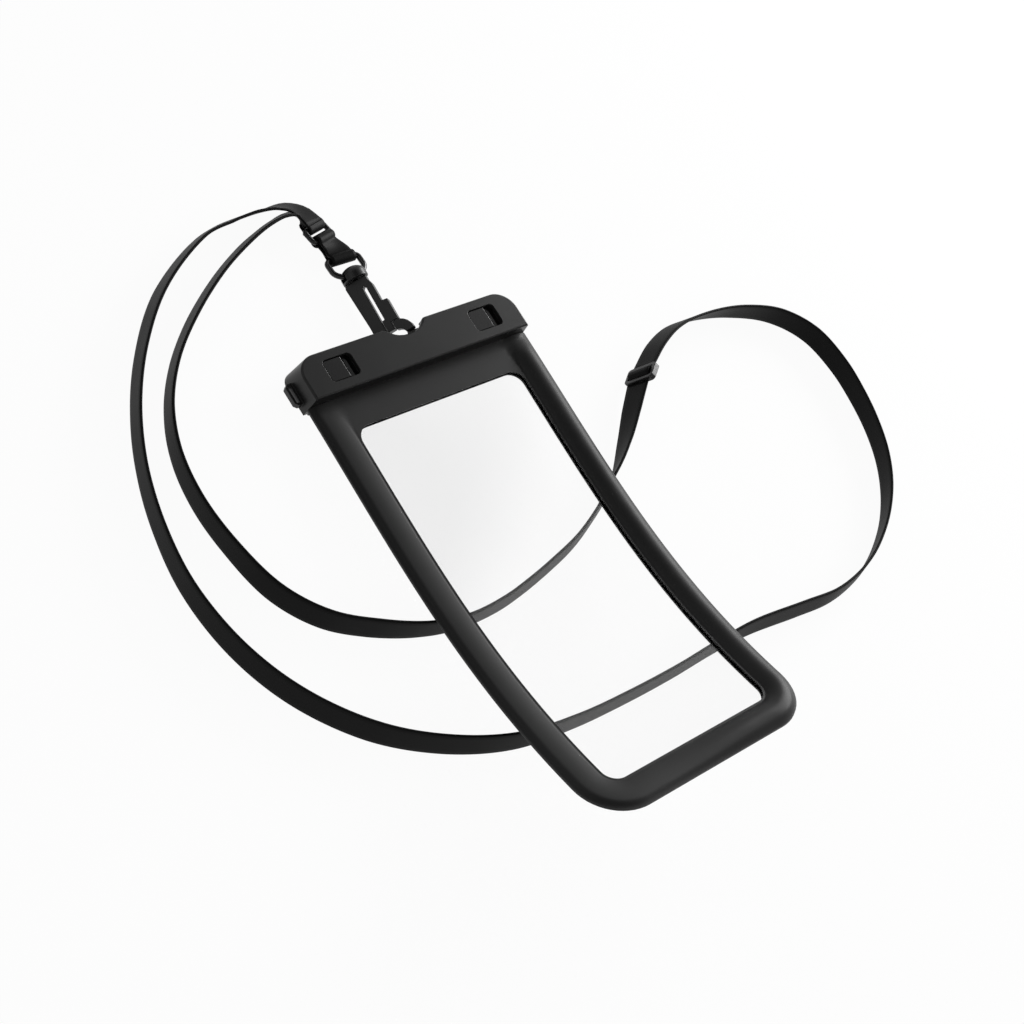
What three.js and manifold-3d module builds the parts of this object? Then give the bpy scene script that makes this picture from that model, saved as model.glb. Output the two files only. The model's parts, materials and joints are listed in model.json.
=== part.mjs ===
// A floating waterproof phone pouch: a curled bag with clear windows and a padded rim,
// a two-bar clamp with sliding latches across its mouth, and a flat neck strap that is
// clipped to the clamp by a plastic snap hook. Millimetres, +X across the bag,
// +Y from the closed end to the clamp, +Z up. The bag lies face up as it comes to rest.
import * as THREE from 'three';
import { mergeVertices } from 'three/addons/utils/BufferGeometryUtils.js';
import Module from 'manifold-3d';

const wasm = await Module();
wasm.setup();

// Driving dimensions of the bag
const windowWidth = 79.8;
const windowLength = 159;
const windowCorner = 6;
const rimWidth = 12.6;
const rimCrown = 3.9;
const mouthBand = 13;
const weldWidth = 2.4;
const filmThickness = 0.35;
const coverThickness = 0.6;
const layerGap = 0.3;
const rimShoulder = 11;
const foamSetback = 1.6;

// Driving dimensions of the clamp
const clampHeight = 17.3;
const clampHalfWidth = 51.2;
const clampEndFlare = 1.5;
const clampCorner = 8.5;
const skirtCorner = 5;
const clampFace = 7;
const clampSkirt = 3.7;
const clampBack = 6;
const edgeChamfer = 0.5;
const neckHalfWidth = 45;
const neckLength = 7;
const faceWall = 1.8;

// Driving dimensions of the latches
const latchWindowWidth = 13;
const latchWindowHeight = 9.3;
const latchWindowCorner = 1.8;
const latchCentreX = 34.7;
const latchCentreV = 8.9;
const latchTravel = 2.8;

// Driving dimensions of the lanyard
const strapWidth = 11;
const strapThickness = 1.1;
const ringWire = 2.2;

// Running and seating clearances
const seat = 0.3;

// How the bag lies: it leans on the edge of the strap under it, so its clamp end is low
const restingPitch = 11.6;

// Material helpers
const tpu = (name) => new THREE.MeshStandardMaterial({ name, color: 0x343434, roughness: 0.55 });
const abs = (name, color) => new THREE.MeshStandardMaterial({ name, color, roughness: 0.5 });

function named(name, geometry, material) {
  const mesh = new THREE.Mesh(geometry, material);
  mesh.name = name;
  return mesh;
}

// Solids: closed geometry in and out, with joins and cuts between
function solidOf(geometry) {
  const bare = geometry.clone();
  bare.deleteAttribute('normal');
  bare.deleteAttribute('uv');
  const merged = mergeVertices(bare, 1e-5);
  return new wasm.Manifold(new wasm.Mesh({
    numProp: 3,
    vertProperties: new Float32Array(merged.attributes.position.array),
    triVerts: new Uint32Array(merged.index.array),
  }));
}

// Edges shorter than this are drawn together, so that no sliver is left where pieces join
const shortestEdge = 0.01;

function geometryOf(solid) {
  const mesh = solid.simplify(shortestEdge).getMesh();
  const geometry = new THREE.BufferGeometry();
  geometry.setAttribute('position', new THREE.BufferAttribute(new Float32Array(mesh.vertProperties), 3));
  geometry.setIndex(new THREE.BufferAttribute(new Uint32Array(mesh.triVerts), 1));
  geometry.computeVertexNormals();
  return geometry;
}

const joined = (...parts) => geometryOf(parts.map(solidOf).reduce((sum, part) => sum.add(part)));
const cut = (body, ...tools) => geometryOf(
  tools.map(solidOf).reduce((rest, tool) => rest.subtract(tool), solidOf(body)),
);

function box(x0, x1, y0, y1, z0, z1) {
  const geometry = new THREE.BoxGeometry(x1 - x0, y1 - y0, z1 - z0);
  return geometry.translate((x0 + x1) / 2, (y0 + y1) / 2, (z0 + z1) / 2);
}

function extruded(shape, z0, z1, curveSegments = 6) {
  const geometry = new THREE.ExtrudeGeometry(shape, {
    depth: z1 - z0, bevelEnabled: false, curveSegments,
  });
  return geometry.translate(0, 0, z0);
}

// A body skinned over equal rings of points, closed by a flat cap at each end
function loft(rings) {
  const count = rings[0].length;
  const positions = rings.flat().flatMap((point) => [point.x, point.y, point.z]);
  const index = [];
  for (let i = 0; i + 1 < rings.length; i += 1) {
    for (let j = 0; j < count; j += 1) {
      const a = i * count + j;
      const b = i * count + ((j + 1) % count);
      index.push(a, b, a + count, b, b + count, a + count);
    }
  }
  const flat = capOutline(rings[0]);
  const last = (rings.length - 1) * count;
  for (const [a, b, c] of THREE.ShapeUtils.triangulateShape(flat, [])) {
    index.push(a, c, b, last + a, last + b, last + c);
  }
  const geometry = new THREE.BufferGeometry();
  geometry.setAttribute('position', new THREE.Float32BufferAttribute(positions, 3));
  geometry.setIndex(index);
  return outward(geometry);
}

// The two axes that show a ring's own plane best, for cutting its cap into triangles
function capOutline(ring) {
  const normal = new THREE.Vector3();
  ring.forEach((point, i) => {
    const next = ring[(i + 1) % ring.length];
    normal.add(new THREE.Vector3().crossVectors(point, next));
  });
  normal.normalize();
  const across = Math.abs(normal.z) < 0.9 ? new THREE.Vector3(0, 0, 1) : new THREE.Vector3(0, 1, 0);
  const u = new THREE.Vector3().crossVectors(across, normal).normalize();
  const v = new THREE.Vector3().crossVectors(normal, u);
  return ring.map((point) => new THREE.Vector2(point.dot(u), point.dot(v)));
}

function outward(geometry) {
  const position = geometry.attributes.position;
  const index = geometry.index.array;
  const corner = (i) => new THREE.Vector3().fromBufferAttribute(position, index[i]);
  let volume = 0;
  for (let i = 0; i < index.length; i += 3) {
    volume += corner(i).dot(new THREE.Vector3().crossVectors(corner(i + 1), corner(i + 2)));
  }
  if (volume < 0) {
    for (let i = 0; i < index.length; i += 3) {
      [index[i + 1], index[i + 2]] = [index[i + 2], index[i + 1]];
    }
  }
  geometry.computeVertexNormals();
  return geometry;
}

// The bag's curl, seen from the side: a shallow trough whose closed end turns up most.
// Its shares of the chord come from the bag's length measured along the sheet.
const bagLength = rimWidth + windowLength + mouthBand;
const curlShares = [[-0.5, 0], [-0.117, -0.123], [0.177, -0.043], [0.5, 0]];
const curlCurve = (chord) => new THREE.CubicBezierCurve(
  ...curlShares.map(([y, z]) => new THREE.Vector2(y * chord, z * chord)),
);
const bagChord = bagLength / curlCurve(1).getLength();
const curl = curlCurve(bagChord);

// A place on the bag: x across it, s along the sheet from the closed end, h above the sheet
function onSheet(x, s, h) {
  const share = THREE.MathUtils.clamp(s / bagLength, 0, 1);
  const point = curl.getPointAt(share);
  const tangent = curl.getTangentAt(share);
  const beyond = s - share * bagLength;
  return new THREE.Vector3(
    x,
    point.x + beyond * tangent.x - h * tangent.y,
    point.y + beyond * tangent.y + h * tangent.x,
  );
}

const range = (from, to, steps) => Array.from(
  { length: steps + 1 },
  (_, i) => from + ((to - from) * i) / steps,
);

// Half width of a rounded panel at distance s along it; the ends are at s0 and s1
function panelHalfWidth(s, s0, s1, halfWidth, radius) {
  const depth = Math.min(s - s0, s1 - s, radius);
  return halfWidth - radius + Math.sqrt(Math.max(radius ** 2 - (radius - depth) ** 2, 0));
}

// A flat sheet with rounded corners, bent to the curl
function panel(s0, s1, halfWidth, radius, low, high) {
  const cornerSteps = range(0, Math.PI / 2, 4).map((angle) => radius * (1 - Math.cos(angle)));
  const stations = [
    ...cornerSteps.map((d) => s0 + d),
    ...range(s0 + radius, s1 - radius, 16).slice(1, -1),
    ...cornerSteps.map((d) => s1 - d).reverse(),
  ];
  return loft(stations.map((s) => {
    const half = panelHalfWidth(s, s0, s1, halfWidth, radius);
    return [[-half, low], [half, low], [half, high], [-half, high]].map(([x, h]) => onSheet(x, s, h));
  }));
}

// Stations along the padded rim: up the left side, round the closed end, up the right side.
// Each gives a place on the window's edge and the direction away from the window.
const rimTop = bagLength - seat;
const innerHalf = windowWidth / 2;
const cornerCentre = { x: innerHalf - windowCorner, s: rimWidth + windowCorner };

function rimStations(end) {
  const sides = range(end, cornerCentre.s, 18).map((s) => ({ x: innerHalf, s, dx: 1, ds: 0 }));
  const corner = range(0, Math.PI / 2, 6).slice(1).map((angle) => ({
    x: cornerCentre.x + windowCorner * Math.cos(angle),
    s: cornerCentre.s - windowCorner * Math.sin(angle),
    dx: Math.cos(angle),
    ds: -Math.sin(angle),
  }));
  const right = [...sides, ...corner];
  const left = right.map((p) => ({ ...p, x: -p.x, dx: -p.dx })).reverse();
  return [...right, ...left];
}

// The rim flattens where it runs in under the clamp
function crownAt(s) {
  const share = THREE.MathUtils.clamp((rimTop - s) / rimShoulder, 0, 1);
  return 0.35 + 0.65 * THREE.MathUtils.smootherstep(share, 0, 1);
}

function rimLoft(section, end = rimTop) {
  return loft(rimStations(end).map((station) => section(crownAt(station.s)).map(
    ([u, h]) => onSheet(station.x + station.dx * u, station.s + station.ds * u, h),
  )));
}

// Height of the padded rim's outer skin, u from the window's edge outwards
const frontFlange = layerGap * 1.5 + filmThickness + coverThickness;
function crownHeight(u, crown) {
  const share = THREE.MathUtils.clamp((u - weldWidth / 2) / (rimWidth - weldWidth), 0, 1);
  const rise = (rimCrown - frontFlange) * crown;
  return frontFlange + rise * Math.sin(Math.PI * share) ** 0.75;
}

const skinPlaces = range(0, rimWidth, 12);

function frontCoverSection(crown) {
  const top = skinPlaces.map((u) => [u, crownHeight(u, crown)]);
  const under = skinPlaces.map((u) => [u, crownHeight(u, crown) - coverThickness]);
  return [...top, ...under.reverse()];
}

function foamSection(crown) {
  const places = skinPlaces.slice(4, -2);
  const top = places.map((u) => [u, crownHeight(u, crown) - coverThickness - layerGap]);
  const floor = -(frontFlange - coverThickness - layerGap);
  return [[places[0], floor], ...top, [places[places.length - 1], floor]];
}

function rearCoverSection() {
  const low = -frontFlange;
  const high = low + coverThickness;
  return [[0, low], [0, high], [rimWidth, high], [rimWidth, low + 0.2], [rimWidth - 0.6, low]];
}

// The band between window and clamp, and the narrower neck that the clamp closes on.
// It overlaps the rim's edge a little, where it is welded on, and the window is cut out of it.
const windowEnd = rimWidth + windowLength;
const weldOverlap = 0.6;
const weldStep = 0.06;
function bandWithNeck(low, high) {
  const bandHalf = innerHalf + weldOverlap;
  const widths = [
    ...range(windowEnd - windowCorner, rimTop - weldOverlap, 3).map((s) => [s, bandHalf]),
    [rimTop + weldStep, neckHalfWidth],
    [bagLength + neckLength, neckHalfWidth],
  ];
  const sheet = loft(widths.map(([s, half]) => [
    [-half, low + weldStep], [half, low + weldStep], [half, high - weldStep], [-half, high - weldStep],
  ].map(([x, h]) => onSheet(x, s, h))));
  const opening = panel(windowEnd / 2, windowEnd, innerHalf + weldStep, windowCorner, low - 1, high + 1);
  return cut(sheet, opening);
}

function bagPieces() {
  const film = layerGap / 2;
  const flangeLow = frontFlange - coverThickness;
  const filmEnd = bagLength + neckLength;
  const filmHalf = innerHalf + weldWidth;
  const filmStart = rimWidth - weldWidth;
  const clear = () => new THREE.MeshStandardMaterial({
    name: 'clear TPU film', color: 0xf4f5f6, roughness: 0.08, transparent: true, opacity: 0.25,
  });
  return [
    named('front_cover', joined(rimLoft(frontCoverSection), bandWithNeck(flangeLow, frontFlange)),
      tpu('black TPU sheet')),
    named('rear_cover', joined(rimLoft(rearCoverSection), bandWithNeck(-frontFlange, -flangeLow)),
      tpu('black TPU sheet')),
    named('front_window', panel(filmStart, filmEnd, filmHalf, windowCorner, film, film + filmThickness),
      clear()),
    named('rear_window', panel(filmStart, filmEnd, filmHalf, windowCorner, -film - filmThickness, -film),
      clear()),
    named('foam_rim', rimLoft(foamSection, rimTop - foamSetback),
      new THREE.MeshStandardMaterial({ name: 'closed-cell foam', color: 0x202020, roughness: 0.95 })),
  ];
}

// The clamp's own frame stands on the bag's end: v runs on along the sheet, h away from it.
// Its outline has two big top corners and a notch for the hook in the middle of its top edge.
const notchHalfWidth = 10;
const notchDepth = 4.4;

function clampOutline(halfWidth, inset, withNotch = true, corner = clampCorner) {
  const right = halfWidth - inset;
  const top = clampHeight - inset;
  const low = seat + inset;
  const radius = corner - inset;
  const shape = new THREE.Shape();
  shape.moveTo(-right, low);
  shape.lineTo(right, low);
  shape.absarc(right - radius, top - radius, radius, 0, Math.PI / 2, false);
  if (withNotch) {
    const half = notchHalfWidth + inset;
    const floor = top - notchDepth;
    shape.lineTo(half, top);
    shape.bezierCurveTo(half * 0.78, top, half * 0.74, floor, 0, floor);
    shape.bezierCurveTo(-half * 0.74, floor, -half * 0.78, top, -half, top);
  }
  shape.absarc(-right + radius, top - radius, radius, Math.PI / 2, Math.PI, false);
  return shape;
}

const level = (shape, h) => shape.getPoints(8).slice(0, -1).map((p) => new THREE.Vector3(p.x, p.y, h));

const barGap = frontFlange + seat;
const sealGroove = { low: 1.7, high: 5.5, depth: 1.05 };
const latchPlaces = [
  { name: 'left_latch', x: -latchCentreX },
  { name: 'right_latch', x: latchCentreX },
];

function roundedRect(x0, x1, y0, y1, radius) {
  const shape = new THREE.Shape();
  shape.absarc(x1 - radius, y1 - radius, radius, 0, Math.PI / 2, false);
  shape.absarc(x0 + radius, y1 - radius, radius, Math.PI / 2, Math.PI, false);
  shape.absarc(x0 + radius, y0 + radius, radius, Math.PI, Math.PI * 1.5, false);
  shape.absarc(x1 - radius, y0 + radius, radius, Math.PI * 1.5, Math.PI * 2, false);
  return shape;
}

// A latch: a button in the window, a flange that runs behind the face, and a fork whose
// lips hook under the head of a post on the rear bar
const flangeHigh = clampFace - faceWall - seat;
const flangeLow = flangeHigh - 1.3;
const flange = { left: 1.6, right: 1.4, low: 3.4, high: clampHeight - 1.4 };
const buttonWidth = latchWindowWidth - latchTravel - 2 * seat;
const post = { width: latchTravel - 0.4, stem: 2.4, head: 5, v: 11.6, low: 1.9 };
const postHigh = flangeLow - seat;
const forkGap = seat;
const lip = { low: 0.2, high: post.low - seat };
const ledge = flangeLow - seat;

const windowLeft = (x) => x - latchWindowWidth / 2;
const buttonLeft = (x) => windowLeft(x) + seat;
const postLeft = (x) => buttonLeft(x) + 2;

function latchWindow(x) {
  const low = latchCentreV - latchWindowHeight / 2;
  const shape = roundedRect(
    windowLeft(x), windowLeft(x) + latchWindowWidth, low, low + latchWindowHeight, latchWindowCorner,
  );
  return extruded(shape, ledge, clampFace + 1);
}

function latchCavities(x) {
  const run = box(
    buttonLeft(x) - flange.left - seat, buttonLeft(x) + buttonWidth + flange.right + latchTravel + seat,
    flange.low - seat, flange.high + seat, ledge, clampFace - faceWall,
  );
  const forkRoom = box(
    postLeft(x) - 0.8, postLeft(x) + post.width + latchTravel + 0.8,
    neckLength + seat, flange.high + seat, 0, ledge + 0.1,
  );
  return [latchWindow(x), run, forkRoom];
}

function frontBar() {
  const base = clampHalfWidth + clampEndFlare;
  const body = loft([
    level(clampOutline(base, 0, true, skirtCorner), -clampSkirt),
    level(clampOutline(clampHalfWidth + 0.1, 0), clampFace - edgeChamfer),
    level(clampOutline(clampHalfWidth, edgeChamfer), clampFace),
  ]);
  const pocket = neckHalfWidth + 1.5;
  const channel = box(-pocket, pocket, -1, clampHeight + 1, -clampSkirt - 1, barGap);
  const groove = box(-neckHalfWidth - seat, neckHalfWidth + seat, sealGroove.low, sealGroove.high,
    0, barGap + sealGroove.depth);
  const hookRoom = box(-eyeletHalf - 1.2, eyeletHalf + 1.2, eyeletLow - seat, clampHeight + 1,
    0, clampFace - faceWall);
  const cavities = latchPlaces.flatMap(({ x }) => latchCavities(x));
  const lugs = [-1, 1].map((side) => endLug(side, base));
  return joined(cut(body, channel, groove, hookRoom, ...cavities), ...lugs);
}

// A small slotted lug on each end of the bar, for a wrist cord
const lugSize = { low: 3.2, high: 12.4, reach: 2.6, thick: 2.4, corner: 1.2, root: 0.8, slot: 1.2, end: 1.2 };
const lugFloor = -2.6;

function endLug(side, base) {
  const { low, high, reach, corner, root, slot, end } = lugSize;
  const tip = base + reach;
  const shape = new THREE.Shape([
    new THREE.Vector2(base - root, low), new THREE.Vector2(tip - corner, low),
    new THREE.Vector2(tip, low + corner), new THREE.Vector2(tip, high - corner),
    new THREE.Vector2(tip - corner, high), new THREE.Vector2(base - root, high),
  ]);
  const near = base + root / 2;
  shape.holes.push(new THREE.Path([
    new THREE.Vector2(near, low + end), new THREE.Vector2(near, high - end),
    new THREE.Vector2(near + slot, high - end), new THREE.Vector2(near + slot, low + end),
  ]));
  const lug = extruded(shape, lugFloor, lugFloor + lugSize.thick);
  return side > 0 ? lug : lug.rotateY(Math.PI).translate(0, 0, 2 * lugFloor + lugSize.thick);
}

function rearBar() {
  const inset = neckHalfWidth + 1.2;
  const shoulder = -clampSkirt - seat;
  const plate = loft([
    level(clampOutline(clampHalfWidth - 2, edgeChamfer, false), -clampBack),
    level(clampOutline(clampHalfWidth - 1.4, 0, false), -clampBack + edgeChamfer),
    level(clampOutline(clampHalfWidth - 1.4, 0, false), shoulder),
  ]);
  const land = box(-inset, inset, seat, clampHeight, shoulder - 0.5, -barGap);
  const groove = box(-neckHalfWidth - seat, neckHalfWidth + seat, sealGroove.low, sealGroove.high,
    -barGap - sealGroove.depth, 0);
  const eyelet = box(-eyeletHalf, eyeletHalf, eyeletLow, clampHeight + 1, -clampBack - 1, 1);
  const posts = latchPlaces.flatMap(({ x }) => latchPost(x));
  return joined(cut(joined(plate, land), groove, eyelet), ...eyeletBridge(), ...posts);
}

// The hook's eyelet: a deep notch in the rear bar with a bridge across it
const eyeletHalf = 8.4;
const eyeletLow = neckLength + 1.2;
const bridge = { v: 14, thick: 2.2, high: 0.9, foot: 2.1 };

function eyeletBridge() {
  const low = bridge.v - bridge.thick / 2;
  const high = bridge.v + bridge.thick / 2;
  const outer = eyeletHalf + bridge.foot;
  return [
    box(-outer, outer, low, high, bridge.high - bridge.thick, bridge.high),
    ...[-1, 1].map((side) => box(
      Math.min(side * (eyeletHalf + 0.05), side * outer), Math.max(side * (eyeletHalf + 0.05), side * outer),
      low - 0.5, high, -barGap - 0.6, bridge.high,
    )),
  ];
}

function latchPost(x) {
  const left = postLeft(x);
  const stem = box(left, left + post.width, post.v - post.stem / 2, post.v + post.stem / 2,
    -barGap - 0.5, postHigh);
  const head = box(left, left + post.width, post.v - post.head / 2, post.v + post.head / 2,
    post.low, postHigh);
  return [stem, head];
}

function latch(x) {
  const left = buttonLeft(x);
  const right = left + buttonWidth;
  const low = latchCentreV - latchWindowHeight / 2 + seat;
  const high = latchCentreV + latchWindowHeight / 2 - seat;
  const top = clampFace - 0.45;
  const ramp = 1.5;
  const button = extruded(roundedRect(left, right, low, high, latchWindowCorner - seat),
    flangeLow, top);
  const bevel = extruded(new THREE.Shape([
    new THREE.Vector2(right - ramp, 0), new THREE.Vector2(right + 1, -ramp - 1),
    new THREE.Vector2(right + 1, 1), new THREE.Vector2(right - ramp, 1),
  ]), -high - 1, -low + 1).rotateX(Math.PI / 2).translate(0, 0, top);
  const plate = box(left - flange.left, right + flange.right, flange.low, flange.high,
    flangeLow, flangeHigh);
  const forkLeft = postLeft(x) - 0.2;
  const forkRight = forkLeft + post.width + 0.2;
  const rails = [-1, 1].flatMap((side) => {
    const inner = post.v + side * (post.head / 2 + forkGap);
    const outer = inner + side * 1.2;
    const edge = post.v + side * (post.stem / 2 + forkGap);
    return [
      box(forkLeft, forkRight, Math.min(inner, outer), Math.max(inner, outer), lip.low, flangeLow + 0.2),
      box(forkLeft, forkRight, Math.min(edge, outer), Math.max(edge, outer), lip.low, lip.high),
    ];
  });
  return joined(cut(button, bevel), plate, ...rails);
}

function sealStrip(side) {
  const low = sealGroove.low + seat;
  const high = sealGroove.high - seat;
  const foot = barGap + sealGroove.depth - seat;
  const middle = (low + high) / 2;
  const profile = new THREE.Shape([
    new THREE.Vector2(low, foot), new THREE.Vector2(low, barGap + 0.2),
    new THREE.Vector2(middle, barGap), new THREE.Vector2(high, barGap + 0.2),
    new THREE.Vector2(high, foot),
  ].map((point) => new THREE.Vector2(point.x, side * point.y)));
  return extruded(profile, -neckHalfWidth, neckHalfWidth)
    .applyMatrix4(new THREE.Matrix4().makeBasis(
      new THREE.Vector3(0, 1, 0), new THREE.Vector3(0, 0, 1), new THREE.Vector3(1, 0, 0),
    ));
}

function clampPieces() {
  const silicone = () => new THREE.MeshStandardMaterial({
    name: 'silicone rubber', color: 0x5a5c5e, roughness: 0.7,
  });
  return [
    named('clamp_front_bar', frontBar(), abs('moulded ABS', 0x303030)),
    named('clamp_rear_bar', rearBar(), abs('moulded ABS', 0x2c2c2c)),
    named('front_seal', sealStrip(1), silicone()),
    named('rear_seal', sealStrip(-1), silicone()),
    ...latchPlaces.map(({ name, x }) => named(name, latch(x), abs('polished ABS', 0x282828))),
  ];
}

function clampGroup() {
  const group = new THREE.Group();
  const end = onSheet(0, bagLength, 0);
  const tangent = curl.getTangentAt(1);
  group.name = 'clamp';
  group.position.copy(end);
  group.rotation.x = Math.atan2(tangent.y, tangent.x);
  group.add(...clampPieces());
  return group;
}

// The bag and clamp are set down with the box around them centred on the origin
const bagAndClamp = new THREE.Group();
bagAndClamp.add(...bagPieces(), clampGroup());
bagAndClamp.rotation.x = THREE.MathUtils.degToRad(-restingPitch);
bagAndClamp.updateMatrixWorld(true);
const around = new THREE.Box3().setFromObject(bagAndClamp, true);
bagAndClamp.position.set(0, -(around.min.y + around.max.y) / 2, -around.min.z);
bagAndClamp.updateMatrixWorld(true);

// A closed wire ring: its centre line is a closed outline in the XY plane
function wireLoop(outline, wire, steps, sides = 8) {
  const centre = outline.getSpacedPoints(steps).slice(0, -1);
  const count = centre.length;
  const positions = [];
  const index = [];
  centre.forEach((point, i) => {
    const ahead = centre[(i + 1) % count];
    const behind = centre[(i + count - 1) % count];
    const along = new THREE.Vector2().subVectors(ahead, behind).normalize();
    for (let j = 0; j < sides; j += 1) {
      const angle = (j / sides) * Math.PI * 2;
      const out = (wire / 2) * Math.cos(angle);
      const up = (wire / 2) * Math.sin(angle);
      positions.push(point.x + along.y * out, point.y - along.x * out, up);
      const a = i * sides + j;
      const b = i * sides + ((j + 1) % sides);
      const c = ((i + 1) % count) * sides + j;
      const d = ((i + 1) % count) * sides + ((j + 1) % sides);
      index.push(a, b, c, b, d, c);
    }
  });
  const geometry = new THREE.BufferGeometry();
  geometry.setAttribute('position', new THREE.Float32BufferAttribute(positions, 3));
  geometry.setIndex(index);
  return outward(geometry);
}

// The snap hook, drawn flat: u across it from the swivel's axis, w along it from the swivel.
// One moulding: a spine, a bow round the eyelet's bridge, and a springing gate arm with a
// thumb step, whose nose closes the bow.
const hook = { thick: 3.8, roll: 45, x: -3.8, seamY: 122.5, axisZ: 5.4 };
const stem = { hole: 2.6, depth: 2.8 };
const spine = { top: -5, low: -4.1, inner: 0.8 };
const slit = { top: 3.4, low: 18.7, width: 1.4 };
const bow = { u: 3.2, w: 26, across: 7.4, along: 5.8 };
const bowEye = { u: bow.u + 0.2, w: bow.w + 0.9, across: 3.8, along: 2.8 };
const gate = { outer: 4.9, step: 7.1, stepTop: 12.1, low: 20.6, nose: 4, noseLow: 23.8 };

function hookOutline() {
  const slitOuter = spine.inner + slit.width;
  const noseInner = spine.inner + seat;
  const tipTop = gate.low + seat;
  const tipInner = gate.nose + seat;
  const tipAngle = -Math.acos((gate.step - bow.u) / bow.across);
  const eyeFrom = -Math.acos((tipInner - bowEye.u) / bowEye.across);
  const eyeTo = Math.PI + Math.acos((bowEye.u - spine.inner) / bowEye.across);
  const shape = new THREE.Shape();
  shape.moveTo(spine.top + 0.4, 0);
  shape.lineTo(spine.top, 1.2);
  shape.lineTo(spine.low, slit.low);
  shape.absellipse(bow.u, bow.w, bow.across, bow.along, Math.PI, tipAngle, true);
  shape.lineTo(gate.step, tipTop);
  shape.lineTo(tipInner, tipTop);
  shape.absellipse(bowEye.u, bowEye.w, bowEye.across, bowEye.along, eyeFrom, eyeTo, false);
  shape.lineTo(spine.inner, slit.top + slit.width / 2);
  shape.lineTo(spine.inner + slit.width / 2, slit.top);
  shape.lineTo(slitOuter, slit.top + slit.width / 2);
  shape.lineTo(slitOuter, slit.low);
  shape.lineTo(noseInner, slit.low);
  shape.lineTo(noseInner, gate.noseLow);
  shape.lineTo(gate.nose, gate.noseLow);
  shape.lineTo(gate.nose, gate.low);
  shape.lineTo(gate.step, gate.low);
  shape.lineTo(gate.step, gate.stepTop);
  shape.lineTo(gate.outer, gate.stepTop - 0.4);
  shape.lineTo(gate.outer, slit.top + slit.width / 2);
  shape.lineTo(gate.outer - 0.7, 1.8);
  shape.lineTo(gate.outer - 0.7, 0);
  return shape;
}

// Turns a piece drawn in the hook's plane into its place on the bridge
function hookPlace() {
  const roll = THREE.MathUtils.degToRad(hook.roll);
  const across = new THREE.Vector3(Math.cos(roll), 0, Math.sin(roll));
  const along = new THREE.Vector3(0, -1, 0);
  const normal = new THREE.Vector3().crossVectors(across, along);
  return new THREE.Matrix4().makeBasis(across, along, normal)
    .setPosition(hook.x, hook.seamY, hook.axisZ);
}

// How far the cut under the face runs on past the notch's floor
const hookEase = 1.6;

function snapHook() {
  const body = extruded(hookOutline(), -hook.thick / 2, hook.thick / 2, 8);
  const bore = new THREE.CylinderGeometry(stem.hole / 2, stem.hole / 2, stem.depth + 1, 12)
    .translate(0, (stem.depth - 1) / 2, 0);
  // Its bow is relieved on the slant where the eyelet's bridge passes through it, and
  // where it runs in under the clamp's face below the notch
  const room = bridge.thick / 2 + seat;
  const relief = box(-eyeletHalf, eyeletHalf, bridge.v - room, bridge.v + room,
    bridge.high - bridge.thick - seat, bridge.high + seat);
  const underFace = box(-notchHalfWidth, notchHalfWidth, eyeletLow, clampHeight - notchDepth + hookEase,
    clampFace - faceWall - seat, clampFace + hookEase);
  const onClamp = bagAndClamp.getObjectByName('clamp').matrixWorld;
  return cut(
    cut(body, bore).applyMatrix4(hookPlace()),
    relief.applyMatrix4(onClamp),
    underFace.applyMatrix4(onClamp),
  );
}

// The swivel eye: a domed head on a stem that turns in the hook; a ring runs through it
const eye = { radius: 5.1, straight: 2.3, dome: 3.4, wireHole: 3.2, slotLow: 1, slotHigh: 4.5 };

function swivelEye() {
  const stemRadius = stem.hole / 2 - seat;
  const stemEnd = stem.depth - 2 * seat;
  const shoulder = -seat - eye.straight;
  const dome = range(0, Math.PI / 2, 6).slice(0, -1).map((angle) => (
    new THREE.Vector2(eye.radius * Math.cos(angle), shoulder - eye.dome * Math.sin(angle))));
  const profile = [
    new THREE.Vector2(0, stemEnd),
    new THREE.Vector2(stemRadius, stemEnd),
    new THREE.Vector2(stemRadius, -seat),
    new THREE.Vector2(eye.radius, -seat),
    ...dome,
    new THREE.Vector2(0, shoulder - eye.dome),
  ];
  const head = outward(mergeVertices(bare(new THREE.LatheGeometry(profile, 20)), 1e-4));
  const reach = eye.radius + 1;
  const slot = box(-reach, reach, -eye.slotHigh, -eye.slotLow, -eye.wireHole / 2, eye.wireHole / 2);
  const turned = new THREE.Matrix4().makeBasis(
    new THREE.Vector3(1, 0, 0), new THREE.Vector3(0, -1, 0), new THREE.Vector3(0, 0, -1),
  ).setPosition(hook.x, hook.seamY, hook.axisZ);
  return cut(head, slot).applyMatrix4(turned);
}

function bare(geometry) {
  geometry.deleteAttribute('normal');
  geometry.deleteAttribute('uv');
  return geometry;
}

// The D-shaped ring that runs through the swivel eye, its straight bar away from the eye
const dRing = { halfWidth: 7.4, halfLength: 4.35, corner: 1.8, fall: 8 };
const ringThroughEye = hook.seamY + eye.slotLow + ringWire / 2 + seat;

function dRingOutline() {
  const { halfWidth: w, halfLength: l, corner: r } = dRing;
  const shape = new THREE.Shape();
  shape.moveTo(0, l);
  shape.lineTo(-w + r, l);
  shape.absarc(-w + r, l - r, r, Math.PI / 2, Math.PI, false);
  shape.absellipse(0, 0, w, l, Math.PI, Math.PI * 2, false);
  shape.absarc(w - r, l - r, r, 0, Math.PI / 2, false);
  shape.lineTo(0, l);
  return shape;
}

function dRingPlace() {
  const group = new THREE.Matrix4().makeRotationX(THREE.MathUtils.degToRad(-dRing.fall));
  const lift = new THREE.Matrix4().makeTranslation(0, dRing.halfLength, 0);
  return new THREE.Matrix4().makeTranslation(hook.x, ringThroughEye, hook.axisZ)
    .multiply(group).multiply(lift);
}

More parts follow.
